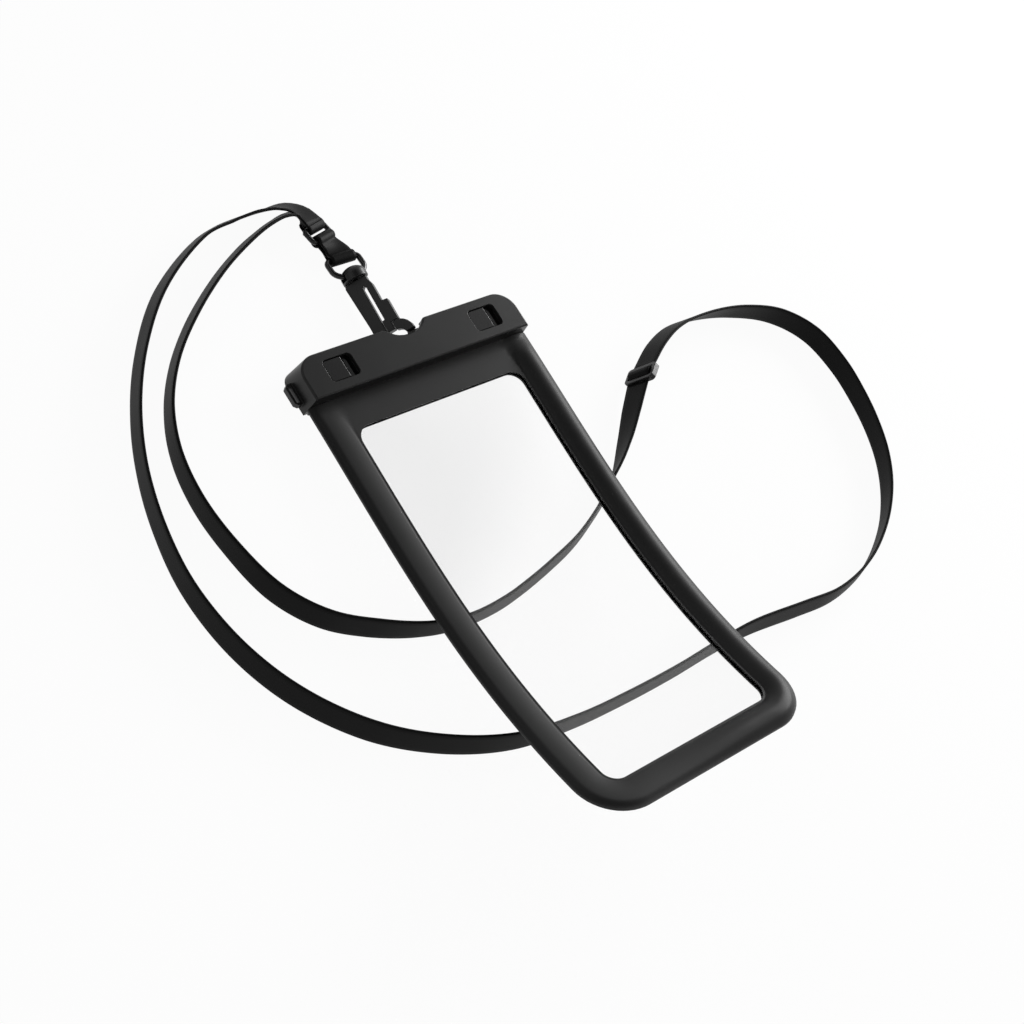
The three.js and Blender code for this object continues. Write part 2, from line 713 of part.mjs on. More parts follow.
// The sewn tab leaves the straight bar of the D ring, turning and rolling to the strap ring
const tab = { length: 10.1, turn: 16, roll: 18, fold: 2.3, waist: 1.1 };
const strapRing = { wire: 2, halfLength: 2.8, corner: 1.5 };

function dRingBar() {
  return dRingPlace().multiply(new THREE.Matrix4().makeTranslation(0, dRing.halfLength, 0));
}

function strapRingBar() {
  return dRingBar()
    .multiply(new THREE.Matrix4().makeRotationX(THREE.MathUtils.degToRad(dRing.fall)))
    .multiply(new THREE.Matrix4().makeRotationZ(THREE.MathUtils.degToRad(tab.turn)))
    .multiply(new THREE.Matrix4().makeTranslation(0, tab.length, 0))
    .multiply(new THREE.Matrix4().makeRotationY(THREE.MathUtils.degToRad(tab.roll)));
}

// The tab's two folds sit square on their bars; the web between them takes up the twist
function webTab() {
  const open = Math.asin(tab.waist / tab.fold);
  const shape = new THREE.Shape();
  shape.absarc(0, 0, tab.fold, open, Math.PI * 2 - open, false);
  shape.absarc(tab.length, 0, tab.fold, Math.PI + open, Math.PI - open, false);
  [[0, ringWire], [tab.length, strapRing.wire]].forEach(([place, wire]) => {
    shape.holes.push(new THREE.Path().absarc(place, 0, wire / 2 + seat, 0, Math.PI * 2, true));
  });
  const geometry = extruded(shape, -strapWidth / 2, strapWidth / 2, 10)
    .applyMatrix4(new THREE.Matrix4().makeBasis(
      new THREE.Vector3(0, 1, 0), new THREE.Vector3(0, 0, 1), new THREE.Vector3(1, 0, 0),
    ));
  const near = dRingBar();
  const far = strapRingBar().multiply(new THREE.Matrix4().makeTranslation(0, -tab.length, 0));
  const position = geometry.attributes.position;
  const corner = new THREE.Vector3();
  for (let i = 0; i < position.count; i += 1) {
    corner.fromBufferAttribute(position, i);
    corner.applyMatrix4(corner.y < tab.length / 2 ? near : far);
    position.setXYZ(i, corner.x, corner.y, corner.z);
  }
  return geometry;
}

// Room at each edge of the strap in a ring or slot
const slotEase = 0.4;

function strapRingLoop() {
  const half = strapWidth / 2 + slotEase + strapRing.wire / 2;
  const outline = roundedRect(-half, half, -strapRing.halfLength, strapRing.halfLength, strapRing.corner);
  outline.closePath();
  return wireLoop(outline, strapRing.wire, 40)
    .translate(0, strapRing.halfLength, 0)
    .applyMatrix4(strapRingBar());
}

// A flat strap along hand-laid places: x, y, its lean in degrees (0 where it stands on its
// edge, 90 where it lies flat) and how far it is lifted off the surface
function ribbon(places, steps, width = strapWidth) {
  const path = new THREE.CatmullRomCurve3(
    places.map(([x, y, , lift = 0.05]) => new THREE.Vector3(x, y, lift)), false, 'centripetal',
  );
  const leanAt = (share) => {
    const at = share * (places.length - 1);
    const i = Math.min(Math.floor(at), places.length - 2);
    return THREE.MathUtils.degToRad(THREE.MathUtils.lerp(places[i][2], places[i + 1][2], at - i));
  };
  const up = new THREE.Vector3(0, 0, 1);
  return loft(range(0, 1, steps).map((length) => {
    const share = path.getUtoTmapping(length);
    const lean = leanAt(share);
    const tangent = path.getTangent(share);
    const side = new THREE.Vector3().crossVectors(tangent, up).normalize();
    const across = new THREE.Vector3().crossVectors(side, tangent)
      .multiplyScalar(Math.cos(lean)).addScaledVector(side, Math.sin(lean));
    const through = new THREE.Vector3().crossVectors(tangent, across);
    const centre = path.getPoint(share);
    centre.z += (width * Math.abs(Math.cos(lean)) + strapThickness * Math.abs(Math.sin(lean))) / 2;
    return ribbonSection(width).map(([a, b]) => (
      centre.clone().addScaledVector(across, a).addScaledVector(through, b)));
  }));
}

// The strap's section, its long edges eased
const strapEdge = 0.3;

function ribbonSection(width) {
  const a = width / 2;
  const b = strapThickness / 2;
  const half = [[a - strapEdge, -b], [a, -b + strapEdge], [a, b - strapEdge], [a - strapEdge, b]];
  return [...half, ...half.map(([across, through]) => [-across, -through])];
}

// The long side of the strap: out of the strap ring, round the left, under the bag's
// closed end, round the right and back to the slider
const outerRoute = [
  [-7.9, 149, -72, 4], [-10, 154.8, -70, 3.8], [-14.5, 159.6, -64, 3.2], [-22.5, 161.6, -54, 1.6],
  [-31.2, 160.4, -42],
  [-43, 159.4, -28], [-55.6, 155.9, -15], [-80.6, 141.3, -12], [-99.1, 122.1, -5], [-112.1, 102.2, 0],
  [-120.9, 81.5, 2], [-125.8, 59.9, 1], [-126.8, 37.2, -2], [-121.5, 12.3, -7], [-110, -10.5, -12],
  [-90.7, -32, -16], [-67, -47.3, -17], [-42, -56.8, -16], [-16.4, -60.4, -14], [8.2, -61.4, -14],
  [34.9, -61.3, -14], [57, -60.3, -15], [78, -60, -16], [105.6, -62.6, -16], [124, -64.1, -14],
  [138, -62.6, -14], [151, -59, -15], [162.5, -53.4, -15], [174.3, -45, -14], [184.4, -34, -11],
  [191.4, -21.8, -9], [195.6, -8.3, -7], [197.5, 6, -4], [197.3, 21.2, -1], [192.5, 38, 2],
  [180, 51.2, 3], [161, 59.3, -2], [141, 62.8, -12, 0.4], [124, 62.4, -20, 1.2], [110.8, 58.2, -22, 1.8],
  [97.7, 50.8, -20, 1.8],
];

// The short side: from the slider under the bag's middle, round the left and up to the ring
const innerRoute = [
  [90.7, 45.6, -16, 1.6], [81.9, 37.2, -9, 0.8], [71.4, 27, 3], [59.9, 17.4, 26],
  [49, 10.6, 44], [38.9, 5, 40], [24.5, -1.2, 16], [8.6, -5.6, 8], [-6.1, -8.8, -10], [-19.7, -10.8, -14],
  [-36.5, -10.9, -4], [-53, -7.5, 8], [-70.8, 0.1, 13], [-86.5, 10.1, 12], [-98.6, 25.4, 8],
  [-105.6, 46.5, 2], [-108.2, 65.1, -1], [-106.7, 82.4, -3], [-100.8, 98.4, -3], [-90.4, 113.3, 1],
  [-75.5, 127.2, 7], [-56.2, 140.5, 10], [-40, 148.8, 14], [-30.1, 152.6, 24], [-21, 155, 46],
  [-14, 155.4, 64], [-10.6, 154, 70, 0.1], [-8.5, 150.6, 72, 0.1],
];

// The slider: a flat frame with two slots and a bar between them, standing on its edge
const slider = {
  length: 8, height: 14.6, thick: 2.6, bar: 1.6, corner: 1.6, x: 94.2, y: 48.2, turn: 217, lean: -18,
  lift: 0.6,
};

function strapSlider() {
  const half = slider.length / 2;
  const tall = slider.height / 2;
  const shape = roundedRect(-half, half, -tall, tall, slider.corner);
  const slotHalf = strapWidth / 2 + slotEase;
  [-1, 1].forEach((side) => {
    const near = slider.bar / 2;
    const far = half - slider.bar;
    const slot = roundedRect(Math.min(side * near, side * far), Math.max(side * near, side * far),
      -slotHalf, slotHalf, 0.5);
    shape.holes.push(new THREE.Path(slot.getPoints(3).reverse()));
  });
  return extruded(shape, -slider.thick / 2, slider.thick / 2, 4)
    .rotateX(Math.PI / 2)
    .rotateX(THREE.MathUtils.degToRad(slider.lean))
    .rotateZ(THREE.MathUtils.degToRad(slider.turn))
    .translate(slider.x, slider.y, tall + slider.lift);
}

function lanyardPieces() {
  const web = () => new THREE.MeshStandardMaterial({
    name: 'coated webbing', color: 0x1c1c1c, roughness: 0.6,
  });
  const nylon = () => new THREE.MeshStandardMaterial({
    name: 'moulded nylon', color: 0x262626, roughness: 0.45,
  });
  const steel = () => new THREE.MeshStandardMaterial({
    name: 'blackened steel wire', color: 0x1a1a1a, roughness: 0.35, metalness: 0.6,
  });
  return [
    named('snap_hook', snapHook(), nylon()),
    named('swivel_eye', swivelEye(), nylon()),
    named('d_ring', wireLoop(dRingOutline(), ringWire, 40).applyMatrix4(dRingPlace()), steel()),
    named('web_tab', webTab(), web()),
    named('strap_ring', strapRingLoop(), nylon()),
    named('strap_outer', ribbon(outerRoute, 50), web()),
    named('strap_inner', ribbon(innerRoute, 30), web()),
    named('strap_slider', strapSlider(), nylon()),
  ];
}

const pouch = new THREE.Group();
pouch.add(bagAndClamp, ...lanyardPieces());
export default pouch;
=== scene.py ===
# %% [markdown]
# # A waterproof phone pouch on its neck strap
# The pouch is a flat bag of clear film with a padded black rim, closed by a two-bar clamp.
# It hangs from a long flat strap by a plastic snap hook. The imported CAD model is loaded
# first as a fixed frame, and the pieces that are made here are set where the CAD has them.
# Everything is in metres: +X across the bag, +Y towards the clamp, +Z up.

# %% Load the frame
import json
import math

import bmesh
import bpy
from mathutils import Matrix, Vector, noise


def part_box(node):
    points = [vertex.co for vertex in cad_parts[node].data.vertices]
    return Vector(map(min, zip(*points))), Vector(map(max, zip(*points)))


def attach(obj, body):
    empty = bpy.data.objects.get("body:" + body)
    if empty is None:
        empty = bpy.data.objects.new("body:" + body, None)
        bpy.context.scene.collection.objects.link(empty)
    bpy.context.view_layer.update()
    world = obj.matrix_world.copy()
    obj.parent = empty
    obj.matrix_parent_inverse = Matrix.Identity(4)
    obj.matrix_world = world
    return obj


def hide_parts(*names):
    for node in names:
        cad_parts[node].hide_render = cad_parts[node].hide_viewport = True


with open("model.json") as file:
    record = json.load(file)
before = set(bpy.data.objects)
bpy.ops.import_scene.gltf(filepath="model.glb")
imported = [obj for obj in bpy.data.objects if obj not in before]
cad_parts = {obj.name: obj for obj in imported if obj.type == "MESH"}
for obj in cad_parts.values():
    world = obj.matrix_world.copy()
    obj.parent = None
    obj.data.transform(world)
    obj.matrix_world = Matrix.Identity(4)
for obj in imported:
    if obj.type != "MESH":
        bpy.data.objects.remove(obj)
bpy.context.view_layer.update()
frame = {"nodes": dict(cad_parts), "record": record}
MM = 0.001
BODY = "pouch"

# %% [markdown]
# The camera comes first, so that each piece can be set against the photograph as soon as
# it exists. It looks down at the surface from the bag's left side, from about three
# quarters of a metre away, and is rolled by some 49 degrees, as the picture is.

# %% Camera
CAMERA_PLACE = Vector((-0.43378, -0.09055, 0.58017))
CAMERA_AIM = Vector((0.00992, 0.01954, 0.0))
CAMERA_ROLL = math.radians(49.207)
CAMERA_LENS_MM = 69.727
CAMERA_SENSOR_MM = 36.0
CAMERA_NEAREST = 0.01

camera = bpy.data.objects.new("camera", bpy.data.cameras.new("camera"))
bpy.context.scene.collection.objects.link(camera)
camera.data.lens = CAMERA_LENS_MM
camera.data.sensor_width = CAMERA_SENSOR_MM
camera.data.clip_start = CAMERA_NEAREST


def aimed(place, aim):
    """The matrix of a lamp or camera that stands at one place and looks at another."""
    look = (Vector(aim) - Vector(place)).to_track_quat("-Z", "Y")
    return Matrix.Translation(place) @ look.to_matrix().to_4x4()


camera.matrix_world = aimed(CAMERA_PLACE, CAMERA_AIM) @ Matrix.Rotation(CAMERA_ROLL, 4, "Z")
bpy.context.scene.camera = camera
bpy.context.scene.view_settings.view_transform = "Standard"
print("camera is", round((CAMERA_AIM - CAMERA_PLACE).length, 3), "m from what it looks at")

# %% [markdown]
# Pieces that are long or folded are made as lofts: the same cross-section is laid down
# again and again along a path, and neighbouring sections are joined with quads. One
# builder for this serves the strap, the padded rim, the films and the wire rings.

# %% Mesh builders
def new_object(name, verts, faces, smooth=True):
    mesh = bpy.data.meshes.new(name)
    mesh.from_pydata([tuple(v) for v in verts], [], faces)
    mesh.polygons.foreach_set("use_smooth", [smooth] * len(mesh.polygons))
    obj = bpy.data.objects.new(name, mesh)
    bpy.context.scene.collection.objects.link(obj)
    tidy_normals(obj)
    return obj


def tidy_normals(obj):
    """Turn all faces outwards, which glass-like materials depend on."""
    bm = bmesh.new()
    bm.from_mesh(obj.data)
    bmesh.ops.recalc_face_normals(bm, faces=bm.faces)
    if bm.calc_volume(signed=True) < 0:
        bmesh.ops.reverse_faces(bm, faces=bm.faces)
    bm.to_mesh(obj.data)
    bm.free()


def loft_faces(rings, around, closed_path=False):
    faces = []
    for i in range(rings if closed_path else rings - 1):
        for j in range(around):
            k = (j + 1) % around
            a, b = i * around, ((i + 1) % rings) * around
            faces.append((a + j, a + k, b + k, b + j))
    if not closed_path:
        faces.append(tuple(range(around)))
        faces.append(tuple((rings - 1) * around + j for j in reversed(range(around))))
    return faces


def loft(name, rings, closed_path=False, smooth=True):
    """Rings of as many places each, joined with quads; an open path gets a cap on each end."""
    verts = [v for ring in rings for v in ring]
    return new_object(name, verts, loft_faces(len(rings), len(rings[0]), closed_path), smooth)


print("a loft of three squares has", len(loft_faces(3, 4)), "faces")

# %% [markdown]
# The strap's route is a few listed places, and a smooth curve has to run through
# all of them. A centripetal Catmull-Rom spline does that without loops or overshoot where
# places lie close together. Its steps are then evened out, so that the quads are all of
# about the same length.

# %% Curves through places
SAMPLES_PER_SPAN = 60
NO_LENGTH = 1e-9


def spline(points, share):
    """A point on a smooth curve through the points (centripetal Catmull-Rom), share 0 to 1."""
    last = len(points) - 1
    at = min(max(share, 0.0), 1.0) * last
    i = min(int(at), last - 1)
    p1, p2 = points[i], points[i + 1]
    p0 = points[i - 1] if i > 0 else p1 * 2 - p2
    p3 = points[i + 2] if i + 2 <= last else p2 * 2 - p1
    d0, d1, d2 = ((b - a).length ** 0.5 or NO_LENGTH for a, b in ((p0, p1), (p1, p2), (p2, p3)))
    m1 = ((p1 - p0) / d0 - (p2 - p0) / (d0 + d1) + (p2 - p1) / d1) * d1
    m2 = ((p2 - p1) / d1 - (p3 - p1) / (d1 + d2) + (p3 - p2) / d2) * d1
    t = at - i
    a = p1 * 2 - p2 * 2 + m1 + m2
    b = p2 * 3 - p1 * 3 - m1 * 2 - m2
    return a * t ** 3 + b * t ** 2 + m1 * t + p1


def even_shares(points, count):
    """Shares of the curve that lie at equal distances along it."""
    fine = SAMPLES_PER_SPAN * (len(points) - 1)
    places = [spline(points, i / fine) for i in range(fine + 1)]
    run = [0.0]
    for a, b in zip(places, places[1:]):
        run.append(run[-1] + (b - a).length)
    shares, k = [], 0
    for i in range(count + 1):
        want = run[-1] * i / count
        while k < fine - 1 and run[k + 1] < want:
            k += 1
        part = (want - run[k]) / max(run[k + 1] - run[k], NO_LENGTH)
        shares.append((k + part) / fine)
    return shares


corner_places = [Vector((0, 0, 0)), Vector((10, 0, 0)), Vector((10, 10, 0))]
print("a curve round a corner passes", [round(v, 2) for v in spline(corner_places, 0.25)])

# %% [markdown]
# ## The neck strap
# A flat strap that is laid down in wide loops stands on its edge, because it bends easily
# one way and hardly at all the other. Its route is a list of places with the lean of the
# strap at each: 0 where it stands upright and 90 where it lies flat. The places are the
# CAD's, but for five of the long run near the ring that lie up to 2 mm nearer the clamp,
# three of them up to 1.6 mm lower as well. The leans near the ring, near the slider and
# under the window are closer to the photo than the CAD's are.

# %% Strap routes
STRAP_WIDTH = 11.0
STRAP_THICKNESS = 1.1
ON_FLOOR = 0.05

# Each place is x, y, lean and, where it leaves the surface, its lift, in mm and degrees.
LONG_RUN = [
    (-7.9, 149, -72, 4), (-10, 154.4, -66, 3.0), (-14.5, 158.2, -48, 1.6), (-22.5, 159.8, -26),
    (-31.2, 159.9, -20), (-43, 158.8, -22), (-55.6, 155.9, -14), (-80.6, 141.3, -12), (-99.1, 122.1, -5),
    (-112.1, 102.2, 0), (-120.9, 81.5, 2), (-125.8, 59.9, 1), (-126.8, 37.2, -2), (-121.5, 12.3, -7),
    (-110, -10.5, -12), (-90.7, -32, -16), (-67, -47.3, -17), (-42, -56.8, -16), (-16.4, -60.4, -14),
    (8.2, -61.4, -14), (34.9, -61.3, -14), (57, -60.3, -15), (78, -60, -16), (105.6, -62.6, -16),
    (124, -64.1, -14), (138, -62.6, -14), (151, -59, -15), (162.5, -53.4, -15), (174.3, -45, -14),
    (184.4, -34, -11), (191.4, -21.8, -9), (195.6, -8.3, -7), (197.5, 6, -4), (197.3, 21.2, -1),
    (192.5, 38, 2), (180, 51.2, 3), (161, 59.3, -2), (141, 62.8, -12, 0.4), (124, 62.4, -20, 1.2),
    (110.8, 58.2, -22, 1.8), (97.7, 50.8, -20, 1.8),
]
SHORT_RUN = [
    (90.7, 45.6, -19, 1.6), (81.9, 37.2, -15, 0.8), (71.4, 27, -4), (59.9, 17.4, 12), (49, 10.6, 22),
    (38.9, 5, 16), (24.5, -1.2, 15), (8.6, -5.6, 15), (-6.1, -8.8, 14), (-19.7, -10.8, 12),
    (-36.5, -10.9, 8), (-53, -7.5, 8), (-70.8, 0.1, 13), (-86.5, 10.1, 12), (-98.6, 25.4, 8),
    (-105.6, 46.5, 2), (-108.2, 65.1, -1), (-106.7, 82.4, -3), (-100.8, 98.4, -3), (-90.4, 113.3, 1),
    (-75.5, 127.2, 7), (-56.2, 140.5, 10), (-40, 148.8, 14), (-30.1, 152.6, 15), (-21, 155, 20),
    (-14, 155.4, 34), (-10.6, 154, 60, 0.1), (-8.5, 150.6, 72, 0.1),
]
print("places on the strap", len(LONG_RUN), "and", len(SHORT_RUN))

# %% [markdown]
# The strap itself is a thin rectangle with rounded edges, carried along the route, so that
# light runs along its edge. At each step the lean turns the section about the direction of
# travel, and the strap is raised until its lower edge is at the lift its route gives.

# %% Strap runs
LONG_STEPS, SHORT_STEPS = 420, 260
LOOK_AHEAD = 1e-4


def strap_frames(route, steps):
    """Centre, width direction and thickness direction of the strap at equal steps."""
    places = [Vector((p[0], p[1], p[3] if len(p) > 3 else ON_FLOOR)) for p in route]
    leans = [Vector((p[2], 0, 0)) for p in route]
    frames = []
    for share in even_shares(places, steps):
        centre = spline(places, share)
        before, after = max(share - LOOK_AHEAD, 0), min(share + LOOK_AHEAD, 1)
        ahead = spline(places, after) - spline(places, before)
        tangent = ahead.normalized()
        at = share * (len(route) - 1)
        i = min(int(at), len(route) - 2)
        lean = math.radians(leans[i].lerp(leans[i + 1], at - i).x)
        side = tangent.cross(Vector((0, 0, 1))).normalized()
        across = side.cross(tangent) * math.cos(lean) + side * math.sin(lean)
        through = tangent.cross(across)
        centre.z += (STRAP_WIDTH * abs(math.cos(lean)) + STRAP_THICKNESS * abs(math.sin(lean))) / 2
        frames.append((centre, across, through))
    return frames


def strap_section(per_face=6, per_edge=5):
    """A flat strip whose two edges are half rounds, as places (across, through)."""
    rounding = STRAP_THICKNESS / 2
    half = STRAP_WIDTH / 2 - rounding
    flat = [(-half + 2 * half * i / per_face, -rounding) for i in range(per_face + 1)]
    angles = [math.pi * i / per_edge for i in range(1, per_edge)]
    edge = [(half + rounding * math.sin(a), -rounding * math.cos(a)) for a in angles]
    return flat + edge + [(-x, -y) for x, y in flat + edge]


def strap_loft(name, frames):
    section = strap_section()
    return loft(name, [[(c + w * a + t * b) * MM for a, b in section] for c, w, t in frames])


def centre_line(frames):
    return [tuple(c * MM) for c, _, _ in frames]


def path_length(path):
    return sum((Vector(b) - Vector(a)).length for a, b in zip(path, path[1:]))


long_frames, short_frames = strap_frames(LONG_RUN, LONG_STEPS), strap_frames(SHORT_RUN, SHORT_STEPS)
long_run, long_path = strap_loft("strap_long_run", long_frames), centre_line(long_frames)
short_run, short_path = strap_loft("strap_short_run", short_frames), centre_line(short_frames)
for run, node in ((long_run, "strap_outer"), (short_run, "strap_inner")):
    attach(run, BODY)
    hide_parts(node)
print("strap runs", round(path_length(long_path), 4), round(path_length(short_path), 4), "m")

# %% [markdown]
# ## Hard mouldings
# The hook, the slider, the clamp's bars and its latches are mouldings. Their CAD solids
# have the right shape but razor-sharp edges, which no moulding has. Each is copied, its
# flat faces are cleaned of needless triangles and its edges are rounded with a bevel, so
# that they catch the light. The copy then stands for the CAD solid.

# %% Rounded copies of hard CAD pieces
SAME_PLACE_MM = 0.03
FLAT_WITHIN = math.radians(1)
EDGE_FROM = math.radians(30)
ROUNDING_STEPS = 3
FLAT_FACES_RULE = 100


def body_of(node):
    bodies = frame["record"]["behaviour"]["bodies"]
    return next(body for body, nodes in bodies.items() if node in nodes)


def rounded(node, name, width_mm):
    source = frame["nodes"][node]
    obj = bpy.data.objects.new(name, source.data.copy())
    bpy.context.scene.collection.objects.link(obj)
    obj.data.materials.clear()
    bm = bmesh.new()
    bm.from_mesh(obj.data)
    bmesh.ops.remove_doubles(bm, verts=bm.verts, dist=SAME_PLACE_MM * MM)
    bmesh.ops.dissolve_limit(bm, angle_limit=FLAT_WITHIN, verts=bm.verts, edges=bm.edges)
    bm.to_mesh(obj.data)
    bm.free()
    obj.data.polygons.foreach_set("use_smooth", [True] * len(obj.data.polygons))
    bevel = obj.modifiers.new("edge rounding", "BEVEL")
    bevel.width = width_mm * MM
    bevel.segments = ROUNDING_STEPS
    bevel.limit_method = "ANGLE"
    bevel.angle_limit = EDGE_FROM
    bevel.use_clamp_overlap = False
    flatten = obj.modifiers.new("flat faces stay flat", "WEIGHTED_NORMAL")
    flatten.mode = "FACE_AREA_WITH_ANGLE"
    flatten.weight = FLAT_FACES_RULE
    apply_modifiers(obj)
    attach(obj, body_of(node))
    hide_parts(node)
    return obj


def apply_modifiers(obj):
    depsgraph = bpy.context.evaluated_depsgraph_get()
    mesh = bpy.data.meshes.new_from_object(obj.evaluated_get(depsgraph), depsgraph=depsgraph)
    obj.modifiers.clear()
    obj.data = mesh


FITTING_EDGE, EYE_EDGE, CLAMP_EDGE, LATCH_EDGE = 0.25, 0.2, 0.18, 0.15
snap_hook = rounded("snap_hook", "snap_hook_moulding", FITTING_EDGE)
swivel_eye = rounded("swivel_eye", "swivel_eye_moulding", EYE_EDGE)
strap_slider = rounded("strap_slider", "strap_slider_moulding", FITTING_EDGE)
clamp_front = rounded("clamp_front_bar", "clamp_front_moulding", CLAMP_EDGE)
clamp_rear = rounded("clamp_rear_bar", "clamp_rear_moulding", CLAMP_EDGE)
left_latch = rounded("left_latch", "left_latch_moulding", LATCH_EDGE)
right_latch = rounded("right_latch", "right_latch_moulding", LATCH_EDGE)
print("rounded pieces", [len(o.data.polygons) for o in (snap_hook, clamp_front, left_latch)])

# %% [markdown]
# ## The rings
# The D ring is bent from lacquered wire and the strap ring is moulded. Both are one closed
# line with a round section, so they are lofts round a closed path. Their places and leans
# are the CAD's, worked out the same way: each is set from the piece that it hangs on.

# %% Ring places
HOOK_PLACE = Vector((-3.8, 122.5, 5.4))
RING_WIRE = 2.2
RING_THROUGH_EYE = 2.4
D_RING = {"half_width": 7.4, "half_length": 4.35, "corner": 1.8, "fall": 8}
TAB = {"length": 10.1, "turn": 16, "roll": 18}
STRAP_RING = {"wire": 2.0, "half_length": 2.8, "corner": 1.5, "half_width": STRAP_WIDTH / 2 + 1.4}


def turned(axis, degrees):
    return Matrix.Rotation(math.radians(degrees), 4, axis)


d_ring_place = (Matrix.Translation(HOOK_PLACE + Vector((0, RING_THROUGH_EYE, 0)))
                @ turned("X", -D_RING["fall"]) @ Matrix.Translation((0, D_RING["half_length"], 0)))
d_ring_bar = d_ring_place @ Matrix.Translation((0, D_RING["half_length"], 0))
strap_ring_bar = (d_ring_bar @ turned("X", D_RING["fall"]) @ turned("Z", TAB["turn"])
                  @ Matrix.Translation((0, TAB["length"], 0)) @ turned("Y", TAB["roll"]))
print("strap ring's near bar", [round(v, 1) for v in strap_ring_bar.translation])

# %% [markdown]
# Each ring is drawn flat, as an outline of arcs, and a round section is carried along it.
# The D ring has one straight side for the web and one bow for the eye. The strap ring is
# an oblong with rounded corners.

# %% Rings
RING_SIDES = 16
CORNER_STEPS, BOW_STEPS = 8, 40
BOW_FROM, BOW_TO = 184, 356


def arc(cx, cy, rx, ry, start, end, steps):
    return [Vector((cx + rx * math.cos(math.radians(start + (end - start) * i / steps)),
                    cy + ry * math.sin(math.radians(start + (end - start) * i / steps)), 0))
            for i in range(steps + 1)]


def corner(cx, cy, radius, start):
    return arc(cx, cy, radius, radius, start, start + 90, CORNER_STEPS)


def d_outline(half_width, half_length, radius):
    x, y = half_width - radius, half_length - radius
    bow = arc(0, 0, half_width, half_length, BOW_FROM, BOW_TO, BOW_STEPS)
    return corner(-x, y, radius, 90) + bow + corner(x, y, radius, 0)


def oblong_outline(half_width, half_length, radius):
    x, y = half_width - radius, half_length - radius
    upper = corner(x, y, radius, 0) + corner(-x, y, radius, 90)
    return upper + corner(-x, -y, radius, 180) + corner(x, -y, radius, 270)


def wire_ring(name, outline, wire, place):
    angles = [2 * math.pi * j / RING_SIDES for j in range(RING_SIDES)]
    rings = []
    for i, point in enumerate(outline):
        along = (outline[(i + 1) % len(outline)] - outline[i - 1]).normalized()
        out = Vector((along.y, -along.x, 0))
        section = [(out * math.cos(a) + Vector((0, 0, math.sin(a)))) * (wire / 2) for a in angles]
        rings.append([(place @ (point + offset)) * MM for offset in section])
    return loft(name, rings, closed_path=True)


d_shape = d_outline(D_RING["half_width"], D_RING["half_length"], D_RING["corner"])
d_ring = wire_ring("d_ring_wire", d_shape, RING_WIRE, d_ring_place)
oblong = oblong_outline(STRAP_RING["half_width"], STRAP_RING["half_length"], STRAP_RING["corner"])
strap_ring_place = strap_ring_bar @ Matrix.Translation((0, STRAP_RING["half_length"], 0))
strap_ring = wire_ring("strap_ring_moulding", oblong, STRAP_RING["wire"], strap_ring_place)
for ring, node, finish in ((d_ring, "d_ring", "black_wire"), (strap_ring, "strap_ring", "nylon")):
    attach(ring, BODY)
    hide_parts(node)
print("rings", len(d_ring.data.polygons), "and", len(strap_ring.data.polygons), "faces")

# %% [markdown]
# ## The sewn tab
# A short length of the same web is folded round both rings and joined to itself. Each fold
# sits square on its own bar, and the web between them takes up the twist.

# %% Web tab
TAB_FOLD = 2.3
TAB_WAIST = 1.1
TAB_WEB = 0.9
TAB_TWIST_FROM, TAB_TWIST_OVER = 0.2, 0.6
TAB_PINCH = 0.6
TAB_COLUMNS, TAB_FOLD_STEPS, TAB_SIDE_STEPS = 10, 20, 8


def tab_place(x, y, z):
    """A place on the tab: near the D ring it follows that ring's bar, further on the strap ring's."""
    near = d_ring_bar @ Vector((x, y, z))
    far = strap_ring_bar @ Vector((x, y - TAB["length"], z))
    share = min(max((y / TAB["length"] - TAB_TWIST_FROM) / TAB_TWIST_OVER, 0), 1)
    return near.lerp(far, share * share * (3 - 2 * share))


def between(a, b):
    """Places on a straight line, without its ends."""
    return [a.lerp(b, i / TAB_SIDE_STEPS) for i in range(1, TAB_SIDE_STEPS)]


def tab_profile(inset):
    """Side view of one face of the folded web, with x along the tab and y as its height."""
    fold = TAB_FOLD - inset
    opening = math.degrees(math.asin((TAB_WAIST - inset * TAB_PINCH) / fold))
    near = arc(0, 0, fold, fold, opening, 360 - opening, TAB_FOLD_STEPS)
    far = arc(TAB["length"], 0, fold, fold, 180 + opening, 540 - opening, TAB_FOLD_STEPS)
    return near + between(near[-1], far[0]) + far + between(far[-1], near[0])


columns = [STRAP_WIDTH * (i / TAB_COLUMNS - 0.5) for i in range(TAB_COLUMNS + 1)]
faces_of_web = [(x, tab_profile(0.0)) for x in columns]
faces_of_web += [(x, tab_profile(TAB_WEB)) for x in reversed(columns)]
rings = [[tab_place(x, p.x, p.y) * MM for p in profile] for x, profile in faces_of_web]
web_tab = loft("web_tab_sewn", rings, closed_path=True)
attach(web_tab, BODY)
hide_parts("web_tab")
print("tab", len(web_tab.data.polygons), "faces")

# %% [markdown]
# The strap is one web that is folded round the far bar of its ring. The fold is a loft of
# the strap's own section, carried from the end of the short run round the bar to the start
# of the long run.

# %% Strap's turn round its ring
RING_CLEARANCE = 0.3
TURN_STEPS = 16


def turned_frame(centre, ahead, across):
    """A frame of the strap whose width lies along the given line, travelling ahead."""
    return centre, across, ahead.cross(across)


